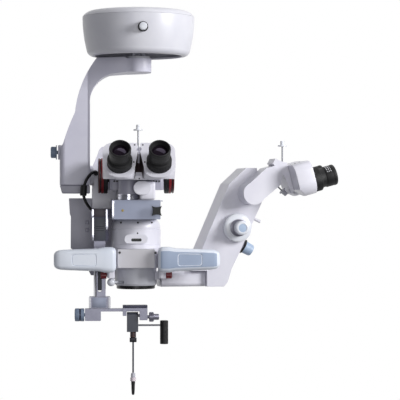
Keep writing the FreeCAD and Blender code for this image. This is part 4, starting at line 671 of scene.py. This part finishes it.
# Screws round the zoom body, with a dot below them, on the beam splitter, the head and the two lobes
screws = {
    "zoomAngles": (-40, 3, 40), "zoomRadius": 40.6, "zoomLevel": -358, "zoomLift": 0.35,
    "splitterReach": (28.5, 33, 37.5), "splitterDepth": -44.8, "splitterLevel": -288.5,
    "plateReach": (-33, 28), "plateDepth": -53.4, "plateLevel": -408.5,
    "ocular": ((8.8, -27.5), (6.6, 8.4)), "viewUp": 9, "view": ((-14, -9), (-24, -20), (-10, -24)),
}
for angle in screws["zoomAngles"]:
    turn = math.radians(angle)
    screwHeads("zoomScrew" + str(angle), "scope",
               [onColumn(angle, screws["zoomRadius"], screws["zoomLevel"])],
               (math.sin(turn), -math.cos(turn), screws["zoomLift"]), radius=1.5, reach=0.7)
screwHeads("zoomDot", "scope", [onColumn(2, 42.2, -375.7)], forward, radius=1.4, reach=0.5)
screwHeads("splitterScrews", "scope",
           [(axisX + side * x, screws["splitterDepth"], screws["splitterLevel"]) for side in (-1, 1)
            for x in screws["splitterReach"]], forward, radius=1.7, reach=0.9)
screwHeads("headStud", "scope", [(-3.2, -127.8, -285)], forward, radius=1.3, reach=1.6)
for side, name, arm in ((-1, "ocularScrews", "left_eye_arm"), (1, "ocularScrewsRight", "right_eye_arm")):
    screwHeads(name, arm, [onHead(side * x, y, 0) for x, y in screws["ocular"]], headOut,
               radius=1.4, reach=0.5)

# Dark brown plates between the two halves of the head: painted shade in the notch between them
notch = {
    "run": (5.7, 35.4),   # how far a wall goes sideways and down
    "middle": (4.35, -22.1, -15), "low": (-0.2, -16.4, -13.6), "high": (0.2, 16.4, 14.4),
}
headAxes = axes(Vector((1, 0, 0)), headUp, headOut)
wallLean = math.atan2(*notch["run"])
for side, name in ((-1, "Left"), (1, "Right")):
    across, along, out = notch["middle"]
    plate("notchWall" + name, notch["low"], notch["high"], name.lower() + "_eye_arm", "notchPaintedShade",
          "black_rubber", 0, onHead(side * across, along, out),
          headAxes @ Matrix.Rotation(side * wallLean, 3, "Z"))
plate("notchBack", (-15, -24, -30.38), (15, -5, -30.1), "scope", "notchPaintedShade", "black_rubber", 0,
      headHinge, headAxes)
print("stage: column details")

# Filter box: a bright edge strip and an indicator
plate("boxEdge", (-46.5, -78.5, -351.6), (-43.2, -77.9, -320.6), "scope", "polished", "aluminium",
      edge=0.2)
turned("boxIndicator", [(2.1, -0.4), (2.1, 0.3), (1.7, 0.5)], "scope", "amber",
       (-29, -78, -337.5), forward, 32)

# Bracket of the lens attachment: plum head, slate face with three dark lines, and bright edges
bracketPlates = {
    "bracketHead": ((-75.6, -23.5, -348.6), (-55.6, -22.9, -335.4), "panelPurple", 0.2),
    "bracketFace": ((-75.6, -23.7, -388.4), (-56.4, -22.9, -350), "panelSlate", 0.2),
    "bracketEdgeLeft": ((-79.3, -24, -388.6), (-75.8, -22.9, -349.2), "polished", 0.3),
    "bracketEdgeUpper": ((-79.9, -23.8, -348.4), (-76, -22.9, -335.4), "polished", 0.3),
    "bracketEdgeRight": ((-56.2, -24, -371), (-51.9, -22.9, -335.4), "polished", 0.3),
}
for name, (low, high, tone, edge) in bracketPlates.items():
    plate(name, low, high, "scope", tone, "black_metal", edge)
faceLines = (-364.5, -367.5, -371.5)
for height in faceLines:
    plate("bracketLine" + str(int(-height)), (-73, -23.95, height - 0.5), (-59.5, -23.6, height + 0.5),
          "scope", "blackScrewAndReflection", "black_metal", 0)

# Rail: the dark guide behind its slot, two strips that stay below the bracket, and the yoke's face
# between its two cheeks. The two strips, one white and one black, are a painted reflection of a chromed
# strip
railPlates = {
    "railGuide": ((-69.6, -12.9, -473), (-62.4, -12.3, -396), "blackScrewAndReflection", 0),
    "railPaintedGlint": ((-75.9, -23.4, -482.6), (-73.6, -22.6, -430), "whiteTickAndGlint", 0.2),
    "railPaintedDarkReflection": ((-73.2, -23.4, -482.6), (-71.7, -22.6, -430), "blackScrewAndReflection", 0.2),
    "yokeFace": ((-78.6, -21.7, -501.4), (-55, -20.9, -484.6), "silver", 0.4),
}
for name, (low, high, tone, edge) in railPlates.items():
    plate(name, low, high, "rail", tone, "aluminium", edge)
yokeCheeks = (-83.4, -50.6)
for x in yokeCheeks:
    plate("yokeCheek" + str(int(-x)), (x - 0.9, -21.6, -502.2), (x + 2, -20.9, -483.8), "rail", "whiteTickAndGlint",
          "aluminium", edge=0.3)

# Knobs of the cross arm: a ribbed one with a dark band, and a lobed clamp
driveSize = {
    "at": (-91, -13, -514),
    "outline": [(2.95, -7.8), (2.95, 1), (10.2, 1.01), (10.9, 1.6), (10.9, 6.6), (10.5, 6.9),
                (10.5, 9.6), (10.9, 9.9), (10.9, 15.8), (10.2, 16.8), (6.6, 17.4)],
    "ribs": [(1.8, 6.4, 10, 0.1), (10, 15.6, 10, 0.1)],
    "band": [(10.4, 7), (10.8, 7.1), (10.8, 9.4), (10.4, 9.5)],
}
driveKnob = turned("driveKnob", driveSize["outline"], "lens_drive", "slatePlastic",
                   driveSize["at"], leftward, 72, driveSize["ribs"])
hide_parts("lens_drive_knob")
turned("driveKnobBand", driveSize["band"], "lens_drive", "slateMetal",
       driveSize["at"], leftward, 72)
clampSize = {
    "at": (14.5, -13, -518), "sides": 48,
    "outline": [(2.95, -6.8), (2.95, 3), (7.2, 3.01), (7.7, 3.6), (7.7, 10.2), (7, 11),
                (5.6, 11.4), (5.2, 12), (5.2, 18.6), (4.4, 19.8)],
    "lobes": (3.7, 10, 7, 0.6, 8, 4),   # from, to, inner radius, height, and of every 8 sides 4 are raised
}
clampKnob = turned("clampKnob", clampSize["outline"], "carriage_clamp", "neckGrey",
                   clampSize["at"], rightward, clampSize["sides"], [clampSize["lobes"]])
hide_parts("cross_arm_knob")
plate("carriageTop", (-27, -23.5, -502.6), (14.5, -2.5, -497.7), "carriage", "slateMetal", "aluminium",
      edge=0.5)

# Spring and clip under the swing block
springSize = {"at": (-9.5, -13, 0), "top": -544, "pitch": 2.1, "coils": 4, "outer": 5.2, "inner": 4.5}
spring = [(4.6, -543.4)]
for coil in range(springSize["coils"]):
    height = springSize["top"] - coil * springSize["pitch"]
    spring += [(springSize["outer"], height), (springSize["outer"], height - 1),
               (springSize["inner"], height - 1.2), (springSize["inner"], height - 1.9)]
spring += [(4, -552.6)]
turned("springCollar", spring, "lens_swing", "bronze", springSize["at"], upward, 48)
plate("rodClip", (-15.4, -15.4, -560.6), (-3.6, -10.6, -552.8), "lens_swing", "blackScrewAndReflection", "steel",
      edge=0.8)

# Swing handle: rod and black grip
handleSize = {
    "rodAt": (-1, -13, -532), "rod": [(1.6, 0.3), (1.6, 43)],
    "gripAt": (43, -13, 0), "grip": [(6.1, 524), (6.8, 524.8), (6.8, 563.2), (6.2, 563.9)],
    "ribs": (527, 561, 6.6, 0.12),
}
handleRod = turned("handleRod", handleSize["rod"], "lens_swing", "steel",
                   handleSize["rodAt"], rightward, 32)
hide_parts("swing_handle")
turned("handleGrip", handleSize["grip"], "lens_swing", "blackPlastic", handleSize["gripAt"],
       downward, 64, [handleSize["ribs"]])

# Lens holder: sleeve, pale ring and dark tip, measured down from the end of the rod
holder = {
    "at": (-9.5, -13, -612.3),
    "sleeve": [(2.3, 0), (3.2, 0.9), (3.8, 2.4), (3.8, 8.4)],
    "ring": [(4.4, 8), (4.9, 8.5), (4.9, 13.6), (4.3, 14.3)],
    "tip": [(3.4, 14), (3.4, 17), (3, 22), (2.9, 28), (2.4, 35.4), (1.7, 37.4)],
}
sleeve = turned("holderSleeve", holder["sleeve"], "lens_swing", "sleeve",
                holder["at"], downward, 48)
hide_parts("lens_holder")
turned("holderRing", holder["ring"], "lens_swing", "pinkRing", holder["at"], downward, 48)
turned("holderTip", holder["tip"], "lens_swing", "rubber", holder["at"], downward, 48)
print("stage: lens attachment details")

# Screws on top of the near lobe of the assistant scope, and in the front plate
screwHeads("viewScrews", "near_eye_arm",
           [viewHinge + viewSide * across + viewUp * screws["viewUp"] + viewOut * out
            for across, out in screws["view"]], viewUp, radius=1.3, reach=0.4)
screwHeads("plateScrews", "scope",
           [(x, screws["plateDepth"], screws["plateLevel"]) for x in screws["plateReach"]], forward,
           radius=1.3, reach=0.4)

# Scale ticks round the near eyepiece
ticks = {
    "rows": 3, "perRow": 4, "start": 25.5, "pitch": 3.2, "radius": 17.45,
    "first": -150, "step": 14,   # degrees round the eyepiece
}
tickTurn = axes(viewSide, viewUp, viewOut)
tickBase = viewHinge - viewSide * halfPupil - viewUp * sideHead["eyeDrop"]
for row in range(ticks["rows"]):
    for step in range(ticks["perRow"]):
        lean = math.radians(ticks["first"] + step * ticks["step"])
        place = tickBase + viewOut * (ticks["start"] + row * ticks["pitch"]) \
            + (viewSide * math.cos(lean) - viewUp * math.sin(lean)) * ticks["radius"]
        plate("tick" + str(row) + str(step), (-0.35, -1.1, -0.5), (0.35, 1.1, 0.5), "near_eye", "whiteTickAndGlint",
              "black_rubber", 0, place, tickTurn @ Matrix.Rotation(-lean, 3, "Z"))

# The lead from the focus housing to the rear housing, with a thick sleeve on its middle
leadRoute = [(-71, 52, -274), (-71, 39.5, -274), (-72.5, 17.5, -270.5), (-83.5, -0.5, -277),
             (-92.5, -10, -293.5), (-94, -10, -314.5), (-85, -4, -332), (-73.5, 10.5, -341), (-71, 31, -344),
             (-71, 52, -344)]
leadCurve = bpy.data.curves.new("lead", "CURVE")
leadCurve.dimensions = "3D"
leadCurve.bevel_depth = 0.0025   # half of the lead's thickness, in metres
leadCurve.bevel_resolution = 6
leadCurve.resolution_u = 24
leadCurve.use_fill_caps = True
spline = leadCurve.splines.new("NURBS")
spline.points.add(len(leadRoute) - 1)
for point, place in zip(spline.points, leadRoute):
    point.co = (*toMetres(*place), 1)
spline.order_u = 3
spline.use_endpoint_u = True
lead = bpy.data.objects.new("lead", leadCurve)
bpy.context.scene.collection.objects.link(lead)
leadCurve.materials.append(look["rubber"])
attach(lead, "focus_unit")
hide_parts("cable")
turned("leadFerrite", [(4.6, -9), (5.5, -8.2), (5.7, -6), (5.7, 6), (5.5, 8.2), (4.6, 9)], "focus_unit",
       "rubber", (-93.2, -9.8, -304), (-1.5, 0, -21), 48)
print("stage: lead")
